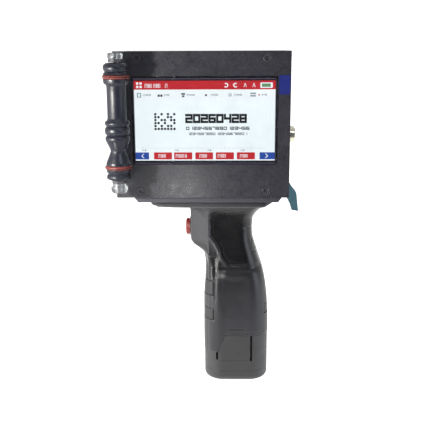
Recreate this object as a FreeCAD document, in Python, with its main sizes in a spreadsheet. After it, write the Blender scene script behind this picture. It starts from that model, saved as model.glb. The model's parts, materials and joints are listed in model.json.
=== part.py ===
"""Handheld date code inkjet printer: head box, guide rollers, pistol grip and slide-in battery.

Frame: millimetres, +Z up, -X is the print face, +X the rear, -Y the side with the screen.
The origin is the centre of the battery's flat base, on which the printer stands.
"""
import FreeCAD, Part
import os
import re

import Sketcher

V = FreeCAD.Vector

# Driving dimensions, millimetres. Names ending in _x, _y or _z are places, the rest are sizes.
DIMENSIONS = {
    # head box
    "box_front": -83.0, "box_rear": 36.0, "box_half": 35.0, "box_base": 145.0, "box_top": 244.0,
    "panel_sheet": 2.0, "box_wall": 2.5, "panel_screw_dx": 43.3, "panel_screw_dz": 44.75,
    "post_radius": 3.6, "post_length": 11.0, "thread_hole": 1.25,
    # screen
    "window_x0": -70.6, "window_x1": 27.0, "window_z0": 168.6, "window_z1": 227.2,
    "glass_gap": 0.2, "glass_sheet": 1.6, "lcd_sheet": 5.0, "film_sheet": 0.2, "film_lap": 0.4,
    "tab_width": 8.0, "tab_z0": 215.5, "tab_z1": 228.2,
    # electronics
    "board_x0": -62.0, "board_x1": 8.0, "board_z0": 172.0, "board_z1": 232.0,
    "board_y": -22.0, "board_sheet": 1.6, "standoff_radius": 2.5,
    # cartridge and its bay
    "cart_y": 10.0, "cart_half": 13.0, "cart_z0": 158.0, "cart_z1": 226.0, "cart_nose_x": -73.0,
    "cart_body_x": -6.0, "cart_lid_x": 8.0, "snout_x": -85.4, "snout_half": 10.5,
    "snout_z0": 164.5, "snout_z1": 187.5, "bay_gap": 0.4, "bay_wall": 1.6,
    "nose_x": -86.2, "nose_half": 17.5, "nose_z0": 156.5, "nose_z1": 195.5,
    # cartridge latch, a rocker that turns about a cross pin
    "latch_x": 30.0, "latch_z": 152.2, "latch_half": 5.0, "latch_pin": 1.5,
    # power button and data socket on the rear wall
    "power_y": -17.0, "power_z": 187.0, "power_radius": 6.0, "power_stand": 4.0, "power_barrel": 4.9,
    "power_bore": 4.35, "power_cap": 4.25, "usb_y": -17.0, "usb_z": 163.0,
    # guide rollers: the profile is measured up from the lower ear
    "roller_x": -78.9, "roller_y": 49.0, "ear_lo_z": 158.0, "ear_hi_z": 237.2, "ear_sheet": 1.9,
    "ear_half": 4.7, "spine_sheet": 2.0, "shaft_radius": 2.5, "roller_bore": 2.55, "end_play": 0.2,
    "ring_big": 9.1, "ring_wire": 1.3, "ring_hi_z": 227.8, "ring_lo_z": 168.9,
    # adapter plate under the box
    "plate_x0": -72.1, "plate_x1": 32.0, "plate_half": 31.0, "plate_sheet": 4.2, "plate_slope": 3.2,
    # pistol grip
    "grip_wall": 2.0, "flange_x0": -61.6, "flange_x1": 26.2, "flange_half": 24.0, "flange_z": 135.2,
    "boss_x": -33.6, "boss_half": 11.5, "boss_wall": 2.2, "neck_hole_x0": -16.0, "neck_hole_x1": 4.0,
    "neck_hole_half": 8.0, "stud_radius": 3.2, "recess_floor": 16.8,
    # trigger button
    "trigger_z": 116.1, "trigger_radius": 6.1, "trigger_face": -37.4,
    # battery
    "pack_half_x": 23.8, "pack_half_y": 20.8, "pack_corner": 14.0, "pack_wall": 1.8, "cap_top": 8.5,
    "seam_lo": 23.6, "seam_hi": 36.9, "seam_x0": -13.4, "seam_x1": -8.6, "seam_gap": 0.25,
    "seam_round": 0.45,
    "stem_x0": -21.0, "stem_x1": 19.6, "stem_half": 18.2, "stem_corner": 11.0, "stem_wall": 1.0,
    "stem_top": 71.5, "cell_radius": 9.1, "cell_length": 65.0, "cell_z": 3.0, "cell_pitch": 18.3,
    "tongue_x0": -13.5, "tongue_x1": 10.5, "tongue_z": 16.9, "tongue_sheet": 1.4, "slit": 1.5,
}

# Stations up the grip: height, front edge, back edge, half depth, corner radius.
GRIP_STATIONS = [
    (20.0, -24.1, 24.1, 21.0, 14.0),
    (40.0, -24.2, 24.1, 21.0, 14.0),
    (54.0, -24.2, 23.8, 21.0, 14.0),
    (62.0, -24.1, 23.3, 21.0, 13.8),
    (70.0, -23.9, 22.5, 21.0, 13.4),
    (76.0, -23.4, 21.7, 20.6, 13.0),
    (82.0, -23.0, 20.5, 19.8, 12.4),
    (88.0, -22.7, 18.8, 19.0, 11.8),
    (94.0, -22.5, 16.8, 18.4, 11.3),
    (100.0, -22.3, 14.8, 18.1, 10.8),
    (106.0, -21.9, 13.0, 18.0, 10.4),
    (112.0, -21.6, 11.9, 18.0, 10.1),
    (117.0, -21.5, 11.6, 18.1, 10.0),
    (121.5, -21.8, 11.7, 18.5, 10.0),
    (125.0, -22.8, 12.0, 19.2, 10.0),
    (128.0, -24.2, 12.8, 20.1, 10.0),
    (131.0, -26.6, 14.4, 21.3, 10.0),
    (133.4, -29.6, 16.7, 22.5, 10.0),
    (135.2, -33.4, 19.6, 23.6, 10.0),
]
STATION_KEYS = ("height", "front", "back", "depth", "corner")
CAVITY_STATIONS = range(1, 15)

for number, station in enumerate(GRIP_STATIONS, start=1):
    for key, value in zip(STATION_KEYS, station):
        DIMENSIONS[f"grip_{key}_{number}"] = value

DEGREE = 3.141592653589793 / 180

# Roller profile: radius, and height above the box's base line.
ROLLER_PROFILE = [
    (5.2, "lower"), (6.6, 15.6), (8.0, 16.4), (8.1, 18.0), (7.6, 18.9), (7.0, 19.5), (8.0, 20.6),
    (8.0, 25.6), (8.2, 26.4), (6.6, 30.4), (4.9, 34.8), (6.6, 38.8), (8.1, 42.2), (8.1, 44.0),
    (7.0, 45.0), (8.2, 46.2), (8.3, 49.6), (7.2, 51.0), (8.2, 52.2), (8.2, 54.0), (6.4, 55.2),
    (6.3, 77.6), (8.2, 78.9), (8.4, 84.6), (7.2, 86.0), (8.0, 87.4), (8.1, 90.2), (7.0, 91.4),
    (5.2, "upper"),
]

# Heights of the two screws that hold each roller bracket.
BRACKET_SCREW_HEIGHTS = ("box_base + 26", "box_base + 82")

# Board parts: left edge, lower edge, width, height, and how far each stands off the board.
CHIPS = [
    (-45, 212, 14, 14, 1.6), (-24, 214, 10, 12, 1.2), (-24, 198, 10, 12, 1.2),
    (-46, 190, 8, 8, 1.2), (-6, 222, 12, 6, 5.5), (-8, 200, 10, 10, 4.0),
]
CAPACITOR_PLACES = (-52, -42, -6)

# Outlines in the X-Z plane.
THUMB_OUTLINE = [
    (-19.5, 127.0), (-19.5, 113.6), (-14.6, 108.0), (-12.0, 103.0), (-10.4, 96.3), (-6.4, 91.6),
    (2.5, 91.2), (4.5, 127.0),
]
BOSS_OUTLINE = [
    ("boss_x", "flange_z + 1"), ("boss_x", 109.5), (-32.2, 105.7), (-28.2, 102.9), (-24.8, 99.7),
    (-22.8, 95), (-15, 95), (-15, "flange_z + 1"),
]

# Screw studs inside the grip, and the soft pads let into its front and back straps.
STUD_PLACES = ((-17.0, 88.0), (12.5, 88.0), (4.0, 122.0))
PAD_BANDS = {"front": ((48.6, 57.8), (67.6, 79.0)), "back": ((52.0, 110.0),)}
PAD_EDGE = {"front": (-30, -17.0), "back": (11.5, 40)}
PAD_DEPTH = 1.0

# Left edges of the battery's three contact pads, and the paths of the two wires up the grip.
CONTACT_PLACES = (-12, -3.5, 5)
WIRE_STARTS = (-9.0, -4.0)
WIRE_RADIUS = 1.1

NAME = re.compile(r"[a-z][a-z0-9_]+")
TURNS = {
    "X": FreeCAD.Rotation(V(0, 1, 0), 90),
    "Y": FreeCAD.Rotation(V(1, 0, 0), -90),
    "Z": FreeCAD.Rotation(),
}

doc = FreeCAD.newDocument("date_coder")
sheet = doc.addObject("Spreadsheet::Sheet", "dims")
nodes = []


# ---------------------------------------------------------------- helpers

def fill_sheet():
    """Write every driving dimension into the sheet under its own alias."""
    for row, (name, value) in enumerate(DIMENSIONS.items(), start=1):
        sheet.set(f"A{row}", name)
        sheet.set(f"B{row}", str(value))
        sheet.setAlias(f"B{row}", name)
    doc.recompute()


def bind(text):
    """Turn the sheet's bare names in an expression into references to its cells."""
    def cell(found):
        word = found.group()
        return f"dims.{word}" if word in DIMENSIONS else word
    return NAME.sub(cell, str(text))


def size(text):
    """The value that an expression of the sheet's names has now."""
    return float(sheet.evalExpression(bind(text)))


def place(solid, x=0, y=0, z=0, turn="Z"):
    """Set a solid's Placement: its turn, and its three coordinates as expressions."""
    solid.Placement = FreeCAD.Placement(V(), TURNS[turn])
    for axis, text in zip("xyz", (x, y, z)):
        solid.setExpression(f"Placement.Base.{axis}", bind(text))
    return solid


def block(x0, x1, y0, y1, z0, z1):
    """A block between six planes."""
    solid = doc.addObject("Part::Box", "block")
    for side, low, high in (("Length", x0, x1), ("Width", y0, y1), ("Height", z0, z1)):
        solid.setExpression(side, bind(f"({high}) - ({low})"))
    return place(solid, x0, y0, z0)


def rod(axis, radius, length, x, y, z):
    """A cylinder that starts at x, y, z and runs along +axis."""
    solid = doc.addObject("Part::Cylinder", "rod")
    solid.setExpression("Radius", bind(radius))
    solid.setExpression("Height", bind(length))
    return place(solid, x, y, z, axis)


def cone(axis, radius0, radius1, length, x, y, z):
    """A cone that starts at x, y, z and runs along +axis."""
    solid = doc.addObject("Part::Cone", "cone")
    solid.setExpression("Radius1", bind(radius0))
    solid.setExpression("Radius2", bind(radius1))
    solid.setExpression("Height", bind(length))
    return place(solid, x, y, z, axis)


def torus(radius, wire, x, y, z):
    """A ring of round section about an upright axis."""
    solid = doc.addObject("Part::Torus", "torus")
    solid.setExpression("Radius1", bind(radius))
    solid.setExpression("Radius2", bind(wire))
    return place(solid, x, y, z)


def join(*solids):
    """One solid from several that touch."""
    if len(solids) == 1:
        return solids[0]
    fused = doc.addObject("Part::MultiFuse", "join")
    fused.Shapes = list(solids)
    return fused


def group(*solids):
    """Separate solids kept in one node."""
    compound = doc.addObject("Part::Compound", "group")
    compound.Links = list(solids)
    return compound


def minus(base, *tools):
    """The base with the tools cut away, one after another."""
    for tool in tools:
        cut = doc.addObject("Part::Cut", "cut")
        cut.Base = base
        cut.Tool = tool
        base = cut
    return base


def overlap(first, second):
    """What two solids have in common."""
    common = doc.addObject("Part::Common", "overlap")
    common.Base = first
    common.Tool = second
    return common


def mirrored(source, normal, **base):
    """The source's mirror image in a plane."""
    image = doc.addObject("Part::Mirroring", "mirrored")
    image.Source = source
    image.Normal = normal
    for axis, text in base.items():
        image.setExpression(f"Base.{axis}", bind(text))
    return image


def rounded(solid, radius, chosen):
    """Fillet the edges of a solid that the test picks."""
    doc.recompute()
    fillet = doc.addObject("Part::Fillet", "rounded")
    fillet.Base = solid
    amount = size(radius)
    fillet.Edges = [(number, amount, amount) for number, edge in enumerate(solid.Shape.Edges, start=1)
                    if chosen(edge)]
    return fillet


def is_along(edge, axis):
    """True for a straight edge along an axis, given as its index."""
    ends = [vertex.Point for vertex in edge.Vertexes]
    if len(ends) != 2 or edge.Curve.TypeId != "Part::GeomLine":
        return False
    step = ends[1] - ends[0]
    return abs(abs(step[axis]) - step.Length) < 1e-6


def node(label, solid):
    """Name a finished sub-part."""
    solid.Label = label
    nodes.append(solid)
    return solid


def new_body(name):
    """An empty PartDesign body."""
    return doc.addObject("PartDesign::Body", name)


def outline(body, role, points, offset=0):
    """A closed sketch of straight edges through points, each pinned to the body's origin."""
    sketch = body.newObject("Sketcher::SketchObject", "outline")
    plane = [item for item in body.Origin.OriginFeatures if item.Role == role][0]
    sketch.AttachmentSupport = [(plane, "")]
    sketch.MapMode = "FlatFace"
    sketch.setExpression("AttachmentOffset.Base.z", bind(offset))
    corners = [V(size(x), size(y), 0) for x, y in points]
    for start, end in zip(corners, corners[1:] + corners[:1]):
        sketch.addGeometry(Part.LineSegment(start, end), False)
    for number in range(len(points)):
        following = (number + 1) % len(points)
        sketch.addConstraint(Sketcher.Constraint("Coincident", number, 2, following, 1))
    for number, point in enumerate(points):
        for kind, text in zip(("DistanceX", "DistanceY"), point):
            pin = Sketcher.Constraint(kind, -1, 1, number, 1, size(text))
            index = sketch.addConstraint(pin)
            sketch.setExpression(f"Constraints[{index}]", bind(text))
    return sketch


def pad(body, sketch, length, midplane=False, backward=False):
    """Raise a sketch into a solid."""
    feature = body.newObject("PartDesign::Pad", "pad")
    feature.Profile = sketch
    feature.setExpression("Length", bind(length))
    feature.Midplane = midplane
    feature.Reversed = backward
    return feature


def turned(name, profile, x=0, y=0, z=0):
    """A body of revolution about its own upright axis, from radius and height pairs."""
    body = new_body(name)
    sketch = outline(body, "XZ_Plane", profile)
    feature = body.newObject("PartDesign::Revolution", "revolution")
    feature.Profile = sketch
    feature.ReferenceAxis = (sketch, ["V_Axis"])
    feature.Angle = 360
    return place(body, x, y, z)


def side_profile(name, points, half, y=0):
    """A body with an outline in the X-Z plane, half as thick on each side of y."""
    body = new_body(name)
    pad(body, outline(body, "XZ_Plane", points), f"2 * ({half})", midplane=True)
    return place(body, 0, y, 0)


def soften(body, radius, chosen):
    """Add a PartDesign fillet to the edges of the body's tip that the test picks."""
    doc.recompute()
    tip = body.Tip
    names = [f"Edge{number}" for number, edge in enumerate(tip.Shape.Edges, start=1) if chosen(edge)]
    feature = body.newObject("PartDesign::Fillet", "fillet")
    feature.Base = (tip, names)
    feature.setExpression("Radius", bind(radius))
    return body


def round_section(name, x0, x1, half, corner, z):
    """A rounded rectangle sketch at height z, symmetric about the X-Z plane."""
    sketch = doc.addObject("Sketcher::SketchObject", name)
    left, right, reach, bend = size(x0), size(x1), size(half), size(corner)
    rows = [(right - bend, -reach + bend, -90), (right - bend, reach - bend, 0),
            (left + bend, reach - bend, 90), (left + bend, -reach + bend, 180)]
    arcs = []
    for x, y, start in rows:
        circle = Part.Circle(V(x, y, 0), V(0, 0, 1), bend)
        begin, finish = start * DEGREE, (start + 90) * DEGREE
        arcs.append(Part.ArcOfCircle(circle, begin, finish))
    for number, arc in enumerate(arcs):
        following = arcs[(number + 1) % len(arcs)]
        sketch.addGeometry(arc, False)
        sketch.addGeometry(Part.LineSegment(arc.EndPoint, following.StartPoint), False)
    for number in range(0, 8, 2):
        sketch.addConstraint(Sketcher.Constraint("Tangent", number, 2, number + 1, 1))
        sketch.addConstraint(Sketcher.Constraint("Tangent", number + 1, 2, (number + 2) % 8, 1))
    for number in (2, 4, 6):
        sketch.addConstraint(Sketcher.Constraint("Equal", 0, number))
    for number, kind in ((1, "Vertical"), (3, "Horizontal"), (5, "Vertical"), (7, "Horizontal")):
        sketch.addConstraint(Sketcher.Constraint(kind, number))
    pins = [("DistanceX", (-1, 1, 1, 1), x1), ("DistanceX", (-1, 1, 5, 1), x0),
            ("DistanceY", (-1, 1, 3, 1), half), ("DistanceY", (-1, 1, 7, 1), f"-({half})")]
    for kind, places, text in pins:
        index = sketch.addConstraint(Sketcher.Constraint(kind, *places, size(text)))
        sketch.setExpression(f"Constraints[{index}]", bind(text))
    index = sketch.addConstraint(Sketcher.Constraint("Radius", 0, bend))
    sketch.setExpression(f"Constraints[{index}]", bind(corner))
    return place(sketch, 0, 0, z)


def lofted(name, sections):
    """A solid with straight rulings from each section to the next."""
    loft = doc.addObject("Part::Loft", name)
    loft.Sections = sections
    loft.Solid = True
    loft.Ruled = True
    return loft


def prism(name, x0, x1, half, corner, z0, z1):
    """A straight upright bar with a rounded rectangle section."""
    sections = [round_section(f"{name}_section", x0, x1, half, corner, z) for z in (z0, z1)]
    return lofted(name, sections)


def screw_form(axis, shank, length, head, sunk, x, y, z):
    """A countersunk screw's outline, which also cuts the hole that it goes in."""
    return join(cone(axis, head, shank, sunk, x, y, z), rod(axis, shank, length, x, y, z))


def screw(axis, shank, length, head, sunk, x, y, z):
    """A countersunk screw with a cross recess; it enters along +axis from x, y, z."""
    centre = dict(zip("XYZ", (x, y, z)))
    deep, wide, thin = f"{sunk} * 0.6", f"{head} * 0.55", "0.18"
    first, second = [letter for letter in "XYZ" if letter != axis]
    arms = []
    for reach in ({first: wide, second: thin}, {first: thin, second: wide}):
        planes = []
        for letter in "XYZ":
            low, high = (0, deep) if letter == axis else (f"-({reach[letter]})", reach[letter])
            planes += [f"({centre[letter]}) + ({low})", f"({centre[letter]}) + ({high})"]
        arms.append(block(*planes))
    return minus(screw_form(axis, shank, length, head, sunk, x, y, z), *arms)


# ---------------------------------------------------------------- head box

PANEL_X = "(box_front + box_rear) / 2"
PANEL_Z = "(box_base + box_top) / 2"


def panel_corners():
    """The four places where a side panel is screwed to the chassis posts."""
    for x_side in (-1, 1):
        for z_side in (-1, 1):
            yield f"{PANEL_X} + {x_side} * panel_screw_dx", f"{PANEL_Z} + {z_side} * panel_screw_dz"


def chassis():
    """The ring of four walls, its corner posts, and the openings for what passes through."""
    reach = "box_half - panel_sheet"
    outer = block("box_front", "box_rear", f"-({reach})", reach, "box_base", "box_top")
    inner = block("box_front + box_wall", "box_rear - box_wall", "-box_half", "box_half",
                  "box_base + box_wall", "box_top - box_wall")
    ring = minus(rounded(outer, 0.8, lambda edge: is_along(edge, 1)), inner)
    ends = (f"-({reach})", f"{reach} - post_length")
    posts = [rod("Y", "post_radius", "post_length", x, y, z) for x, z in panel_corners() for y in ends]
    threads = [rod("Y", "thread_hole", "post_length", x, y, z)
               for x, z in panel_corners() for y in ends]
    snout_gap = 1.5
    window = block("box_front - 1", "box_front + box_wall + 1",
                   f"cart_y - snout_half - {snout_gap}", f"cart_y + snout_half + {snout_gap}",
                   f"snout_z0 - {snout_gap}", f"snout_z1 + {snout_gap}")
    bay = block("box_rear - box_wall - 1", "box_rear + 1", "cart_y - cart_half - bay_gap",
                "cart_y + cart_half + bay_gap", "cart_z0 - bay_gap", "cart_z1 + bay_gap")
    slot = block("box_rear - box_wall - 1", "box_rear + 1", "cart_y - latch_half - 0.6",
                 "cart_y + latch_half + 0.6", "box_base + box_wall", "cart_z0")
    power = rod("X", "power_barrel + 0.1", "box_wall + 2", "box_rear - box_wall - 1", "power_y", "power_z")
    usb = block("box_rear - box_wall - 1", "box_rear + 1", "usb_y - 3.1", "usb_y + 3.1",
                "usb_z - 6.8", "usb_z + 6.8")
    cable = block("neck_hole_x0", "neck_hole_x1", "-neck_hole_half", "neck_hole_half",
                  "box_base - 1", "box_base + box_wall + 1")
    corner_holes = [rod("Z", "thread_hole", "box_wall + 2", x, y, "box_base - 1")
                    for x, y in plate_screws()]
    nose_holes = [rod("X", 1.0, "box_wall + 2", "box_front - 1", y, z) for y, z in nose_screws()]
    node("chassis", minus(join(ring, *posts), *threads, window, bay, slot, power, usb, cable,
                          *corner_holes, *nose_holes))


def panels():
    """The two side panels and their countersunk screws."""
    for side, sign in (("front", -1), ("back", 1)):
        outer_y = f"{sign} * box_half"
        inner_y = f"{sign} * (box_half - panel_sheet)"
        low, high = (outer_y, inner_y) if sign < 0 else (inner_y, outer_y)
        sheet_metal = block("box_front", "box_rear", low, high, "box_base", "box_top")
        plain = rounded(sheet_metal, 0.7, lambda edge: is_along(edge, 1))
        sunk = [panel_screw(x, z, sign, screw_form, 0.15) for x, z in panel_corners()]
        cuts = sunk + ([screen_window()] if sign < 0 else [])
        cuts += bracket_holes(sign)
        node(f"{side}_panel", minus(plain, *cuts))
        screws = [panel_screw(x, z, sign, screw) for x, z in panel_corners()]
        node(f"{side}_panel_screws", group(*screws))


def panel_screw(x, z, sign, maker, spare=0):
    """A panel screw, or with some spare the hole that it goes in."""
    solid = maker("Y", f"thread_hole + {spare}", 9, f"2.9 + {spare}", 1.7, x, "-box_half", z)
    return solid if sign < 0 else mirrored(solid, (0, 1, 0))


def screen_window():
    """The opening that the touch glass fills."""
    return block("window_x0", "window_x1", "-box_half - 1", "1 - box_half + panel_sheet",
                 "window_z0", "window_z1")


def screen():
    """Touch glass in the panel's window, the display behind it, and the film with its pull tab."""
    glass = block("window_x0 + glass_gap", "window_x1 - glass_gap", "-box_half",
                  "-box_half + glass_sheet", "window_z0 + glass_gap", "window_z1 - glass_gap")
    node("touch_glass", rounded(glass, 1.0, lambda edge: is_along(edge, 1)))
    lcd = block("window_x0 + 0.6", "window_x1 - 0.6", "-box_half + glass_sheet",
                "-box_half + glass_sheet + lcd_sheet", "window_z0 + 0.6", "window_z1 - 0.6")
    node("lcd_module", lcd)
    film = block("window_x0 - film_lap", "window_x1 + film_lap", "-box_half - film_sheet",
                 "-box_half", "window_z0 - film_lap", "window_z1 + film_lap")
    node("screen_film", rounded(film, 2.0, lambda edge: is_along(edge, 1)))
    tab = block("window_x1 + film_lap + 0.6", "window_x1 + film_lap + tab_width",
                "-box_half - film_sheet", "-box_half", "tab_z0", "tab_z1")
    node("film_pull_tab", rounded(tab, 0.8, lambda edge: is_along(edge, 1)))


def electronics():
    """The main board on its standoffs, with its parts."""
    back = "board_y + board_sheet"
    board = block("board_x0", "board_x1", "board_y", back, "board_z0", "board_z1")
    inset = 4
    corners = [(x, z) for x in (f"board_x0 + {inset}", f"board_x1 - {inset}")
               for z in (f"board_z0 + {inset}", f"board_z1 - {inset}")]
    holes = [rod("Y", 1.6, "board_sheet + 2", x, "board_y - 1", z) for x, z in corners]
    node("main_board", minus(board, *holes))
    lcd_back = "-box_half + glass_sheet + lcd_sheet"
    pillars = [rod("Y", "standoff_radius", f"board_y - ({lcd_back})", x, lcd_back, z)
               for x, z in corners]
    node("board_standoffs", group(*pillars))
    parts = [block(x, x + wide, back, f"{back} + {tall}", z, z + high)
             for x, z, wide, high, tall in CHIPS]
    cans = [rod("Y", 3.2, 7, x, back, 182) for x in CAPACITOR_PLACES]
    header = block(-24, -12, back, f"{back} + 6", 174, 180)
    node("board_components", group(*parts, *cans, header))


# ---------------------------------------------------------------- cartridge

def cartridge_bay():
    """The cradle that guides the cartridge, with ears for the latch pin."""
    inner = [f"cart_y {sign} (cart_half + bay_gap)" for sign in "-+"]
    outer = [f"cart_y {sign} (cart_half + bay_gap + bay_wall)" for sign in "-+"]
    low, high = "cart_z0 - bay_gap", "cart_z1 + bay_gap"
    front, back = "box_front + box_wall", "box_rear - box_wall"
    shell = block(front, back, *outer, f"{low} - bay_wall", f"{high} + bay_wall")
    hollow = block(f"{front} - 1", f"{back} + 1", *inner, low, high)
    lips = [block(front, f"{front} + 3", *inner, low, "snout_z0 - 1.5"),
            block(front, f"{front} + 3", *inner, "snout_z1 + 1.5", high)]
    nib_slot = block(3, f"{back} + 1", "cart_y - latch_half - 0.6", "cart_y + latch_half + 0.6",
                     f"{low} - bay_wall - 1", f"{low} + 1")
    sides = (("cart_y - latch_half - 3", "cart_y - latch_half - 0.5"),
             ("cart_y + latch_half + 0.5", "cart_y + latch_half + 3"))
    ears = [block("latch_x - 4", back, near, far, "box_base + box_wall", f"{low} - bay_wall")
            for near, far in sides]
    pin_hole = rod("Y", "latch_pin", "2 * latch_half + 8", "latch_x", "cart_y - latch_half - 4", "latch_z")
    pin_windows = block(-78, -62, "cart_y - 9", "cart_y + 9", f"{low} - bay_wall - 1", f"{low} + 1")
    node("cartridge_stall", minus(join(minus(shell, hollow), *lips, *ears), nib_slot, pin_hole,
                                  pin_windows))
    board = block(-79, -61, "cart_y - 11", "cart_y + 11", f"{low} - bay_wall - 1.6",
                  f"{low} - bay_wall")
    pins = [rod("Z", 0.7, 1.5, -76 + 4 * column, f"cart_y + {-6 + 4 * row}", f"{low} - bay_wall")
            for column in range(4) for row in range(4)]
    node("contact_board", join(board, *pins))


def cartridge():
    """The ink cartridge: tank with its snout, the lid with a finger grip, and the nozzle plate."""
    sides = "cart_y - cart_half", "cart_y + cart_half"
    tank = block("cart_nose_x", "cart_body_x", *sides, "cart_z0", "cart_z1")
    tank = rounded(tank, 2.0, lambda edge: is_along(edge, 0))
    snout = block("snout_x + 0.4", "cart_nose_x + 1", "cart_y - snout_half", "cart_y + snout_half",
                  "snout_z0", "snout_z1")
    notch = block(5, 20, "cart_y - latch_half - 0.4", "cart_y + latch_half + 0.4", "cart_z0 - 1",
                  "cart_z0 + 1.6")
    node("ink_cartridge", join(tank, snout))
    lid = block("cart_body_x", "cart_lid_x", *sides, "cart_z0", "cart_z1")
    lid = rounded(lid, 2.0, lambda edge: is_along(edge, 0))
    grip_bar = block("cart_lid_x", "cart_lid_x + 10", "cart_y - 1.5", "cart_y + 1.5",
                     "cart_z0 + 14", "cart_z1 - 14")
    grip_bar = rounded(grip_bar, 1.2, lambda edge: edge.CenterOfMass.x > size("cart_lid_x + 1"))
    node("cartridge_lid", minus(join(lid, grip_bar), notch))
    node("nozzle_plate", block("snout_x", "snout_x + 0.4", "cart_y - 7", "cart_y + 7",
                               "snout_z0 + 3", "snout_z1 - 3"))


def latch():
    """The rocker that keeps the cartridge in, and its pin."""
    wall = "box_rear"
    arm_top, arm_low = "latch_z + 2.8", "latch_z + 0.4"
    contour = [
        (f"{wall} + 0.4", 151.4), (f"{wall} + 3.4", 148.2), (f"{wall} + 6.6", 143.2),
        (f"{wall} + 8.6", 141.2), (f"{wall} + 9.3", 139.0), (f"{wall} + 9.6", 135.3),
        (f"{wall} + 10.7", 126.4), (f"{wall} + 5.6", 127.2), (f"{wall} + 5.1", 130.2),
        (f"{wall} + 2.2", 136.0), (f"{wall} + 0.4", 141.2), (f"{wall} + 0.4", 148.4),
        ("latch_x", 148.6), ("latch_x - 3", 150.2),
        (8, arm_low), (8, arm_top), (9.2, arm_top), (9.2, "cart_z0 - 0.3"), (10.8, "cart_z0 - 0.3"),
        (13, arm_top), ("latch_x - 2", "latch_z + 3.6"), ("latch_x + 1", "latch_z + 3.2"),
        (f"{wall} - 2.4", 151.4),
    ]
    rocker = side_profile("rocker", contour, "latch_half", "cart_y")
    soften(rocker, 0.4, lambda edge: is_along(edge, 1) and edge.CenterOfMass.x > size("box_rear + 5"))
    bore = rod("Y", "latch_pin + 0.05", "2 * latch_half + 2", "latch_x", "cart_y - latch_half - 1",
               "latch_z")
    node("cartridge_latch", minus(rocker, bore))
    node("latch_pin", rod("Y", "latch_pin", "2 * latch_half + 6", "latch_x",
                          "cart_y - latch_half - 3", "latch_z"))


def nose_screws():
    """Centres of the four screws that hold the nose plate."""
    for y in ("cart_y - nose_half + 3", "cart_y + nose_half - 3"):
        for z in ("nose_z0 + 3", "nose_z1 - 3"):
            yield y, z


def nose():
    """The guard plate round the nozzle on the print face."""
    plate = block("nose_x", "box_front", "cart_y - nose_half", "cart_y + nose_half", "nose_z0", "nose_z1")
    plate = rounded(plate, 3.0, lambda edge: is_along(edge, 0))
    plate = rounded(plate, 0.8, lambda edge: edge.CenterOfMass.x < size("nose_x + 0.1"))
    gap = 1.2
    window = block("nose_x - 1", "box_front + 1", f"cart_y - snout_half - {gap}",
                   f"cart_y + snout_half + {gap}", f"snout_z0 - {gap}", f"snout_z1 + {gap}")
    sockets = [screw_form("X", 1.15, 6, 2.15, 1.2, "nose_x", y, z) for y, z in nose_screws()]
    node("nose_plate", minus(plate, window, *sockets))
    node("nose_screws", group(*[screw("X", 1.0, 5.2, 2.0, 1.2, "nose_x", y, z)
                                for y, z in nose_screws()]))


# ---------------------------------------------------------------- guide rollers

def bracket_holes(sign):
    """Clearance holes in a side panel for the screws of the roller bracket."""
    low, high = ("-box_half - 1", 4) if sign < 0 else ("box_half - panel_sheet - 1", 4)
    return [rod("Y", 1.3, high, "roller_x + 0.2", low, z) for z in BRACKET_SCREW_HEIGHTS]


def front_roller_parts():
    """Solids of the roller on the screen side, by node name."""
    y = "-roller_y"
    lower, upper = "ear_lo_z + ear_sheet + end_play", "ear_hi_z - end_play"
    heights = {"lower": f"{lower} - box_base", "upper": f"{upper} - box_base"}
    rim = [(radius, heights.get(z, z)) for radius, z in ROLLER_PROFILE]
    profile = [("roller_bore", heights["lower"]), *rim, ("roller_bore", heights["upper"])]
    body = turned("roller", profile, "roller_x", y, "box_base")
    ring_heights = ("ring_lo_z", "ring_hi_z")
    rings, grooves = ([torus("ring_big - ring_wire", "ring_wire", "roller_x", y, z)
                       for z in ring_heights] for _ in range(2))
    grooved = minus(body, *grooves)
    shaft_z0, shaft_z1 = "ear_lo_z - 5.4", "ear_hi_z + ear_sheet + 2.8"
    shaft = rod("Z", "shaft_radius", f"{shaft_z1} - ({shaft_z0})", "roller_x", y, shaft_z0)
    top = turned("top_cap", [(0, 0), (4.6, 0), (4.9, 0.5), (4.9, 3.2), (4.2, 4.0), (0, 4.0)],
                 "roller_x", y, "ear_hi_z + ear_sheet")
    low = turned("low_cap", [(0, 0), (4.6, 0), (5.3, 0.7), (5.6, 3.0), (5.6, 4.6), (4.4, 5.2),
                             (4.4, 6.8), (0, 6.8)],
                 "roller_x", y, "ear_lo_z - 6.8")
    caps = group(minus(top, shaft), minus(low, shaft))
    return {"roller": grooved, "roller_rings": group(*rings), "roller_shaft": shaft,
            "roller_caps": caps, "roller_bracket": bracket(y)}


def bracket(y):
    """Spine on the side panel with an ear at each end of the shaft."""
    edge, reach = "-box_half", "ear_half"
    spine = block("box_front + 0.3", "box_front + 8.8", f"{edge} - spine_sheet", edge, "ear_lo_z",
                  "ear_hi_z + ear_sheet")
    ears = []
    for z in ("ear_lo_z", "ear_hi_z"):
        arm = block(f"roller_x - {reach} + 0.9", f"roller_x + {reach}", y, edge, z, f"{z} + ear_sheet")
        tip = rod("Z", reach, "ear_sheet", "roller_x", y, z)
        hole = rod("Z", "shaft_radius", "ear_sheet + 2", "roller_x", y, f"{z} - 1")
        ears.append(minus(join(arm, tip), hole))
    threads = [rod("Y", 1.0, 3, "roller_x + 0.2", f"{edge} - spine_sheet + 0.4", z)
               for z in BRACKET_SCREW_HEIGHTS]
    return minus(join(spine, *ears), *threads)


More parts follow.
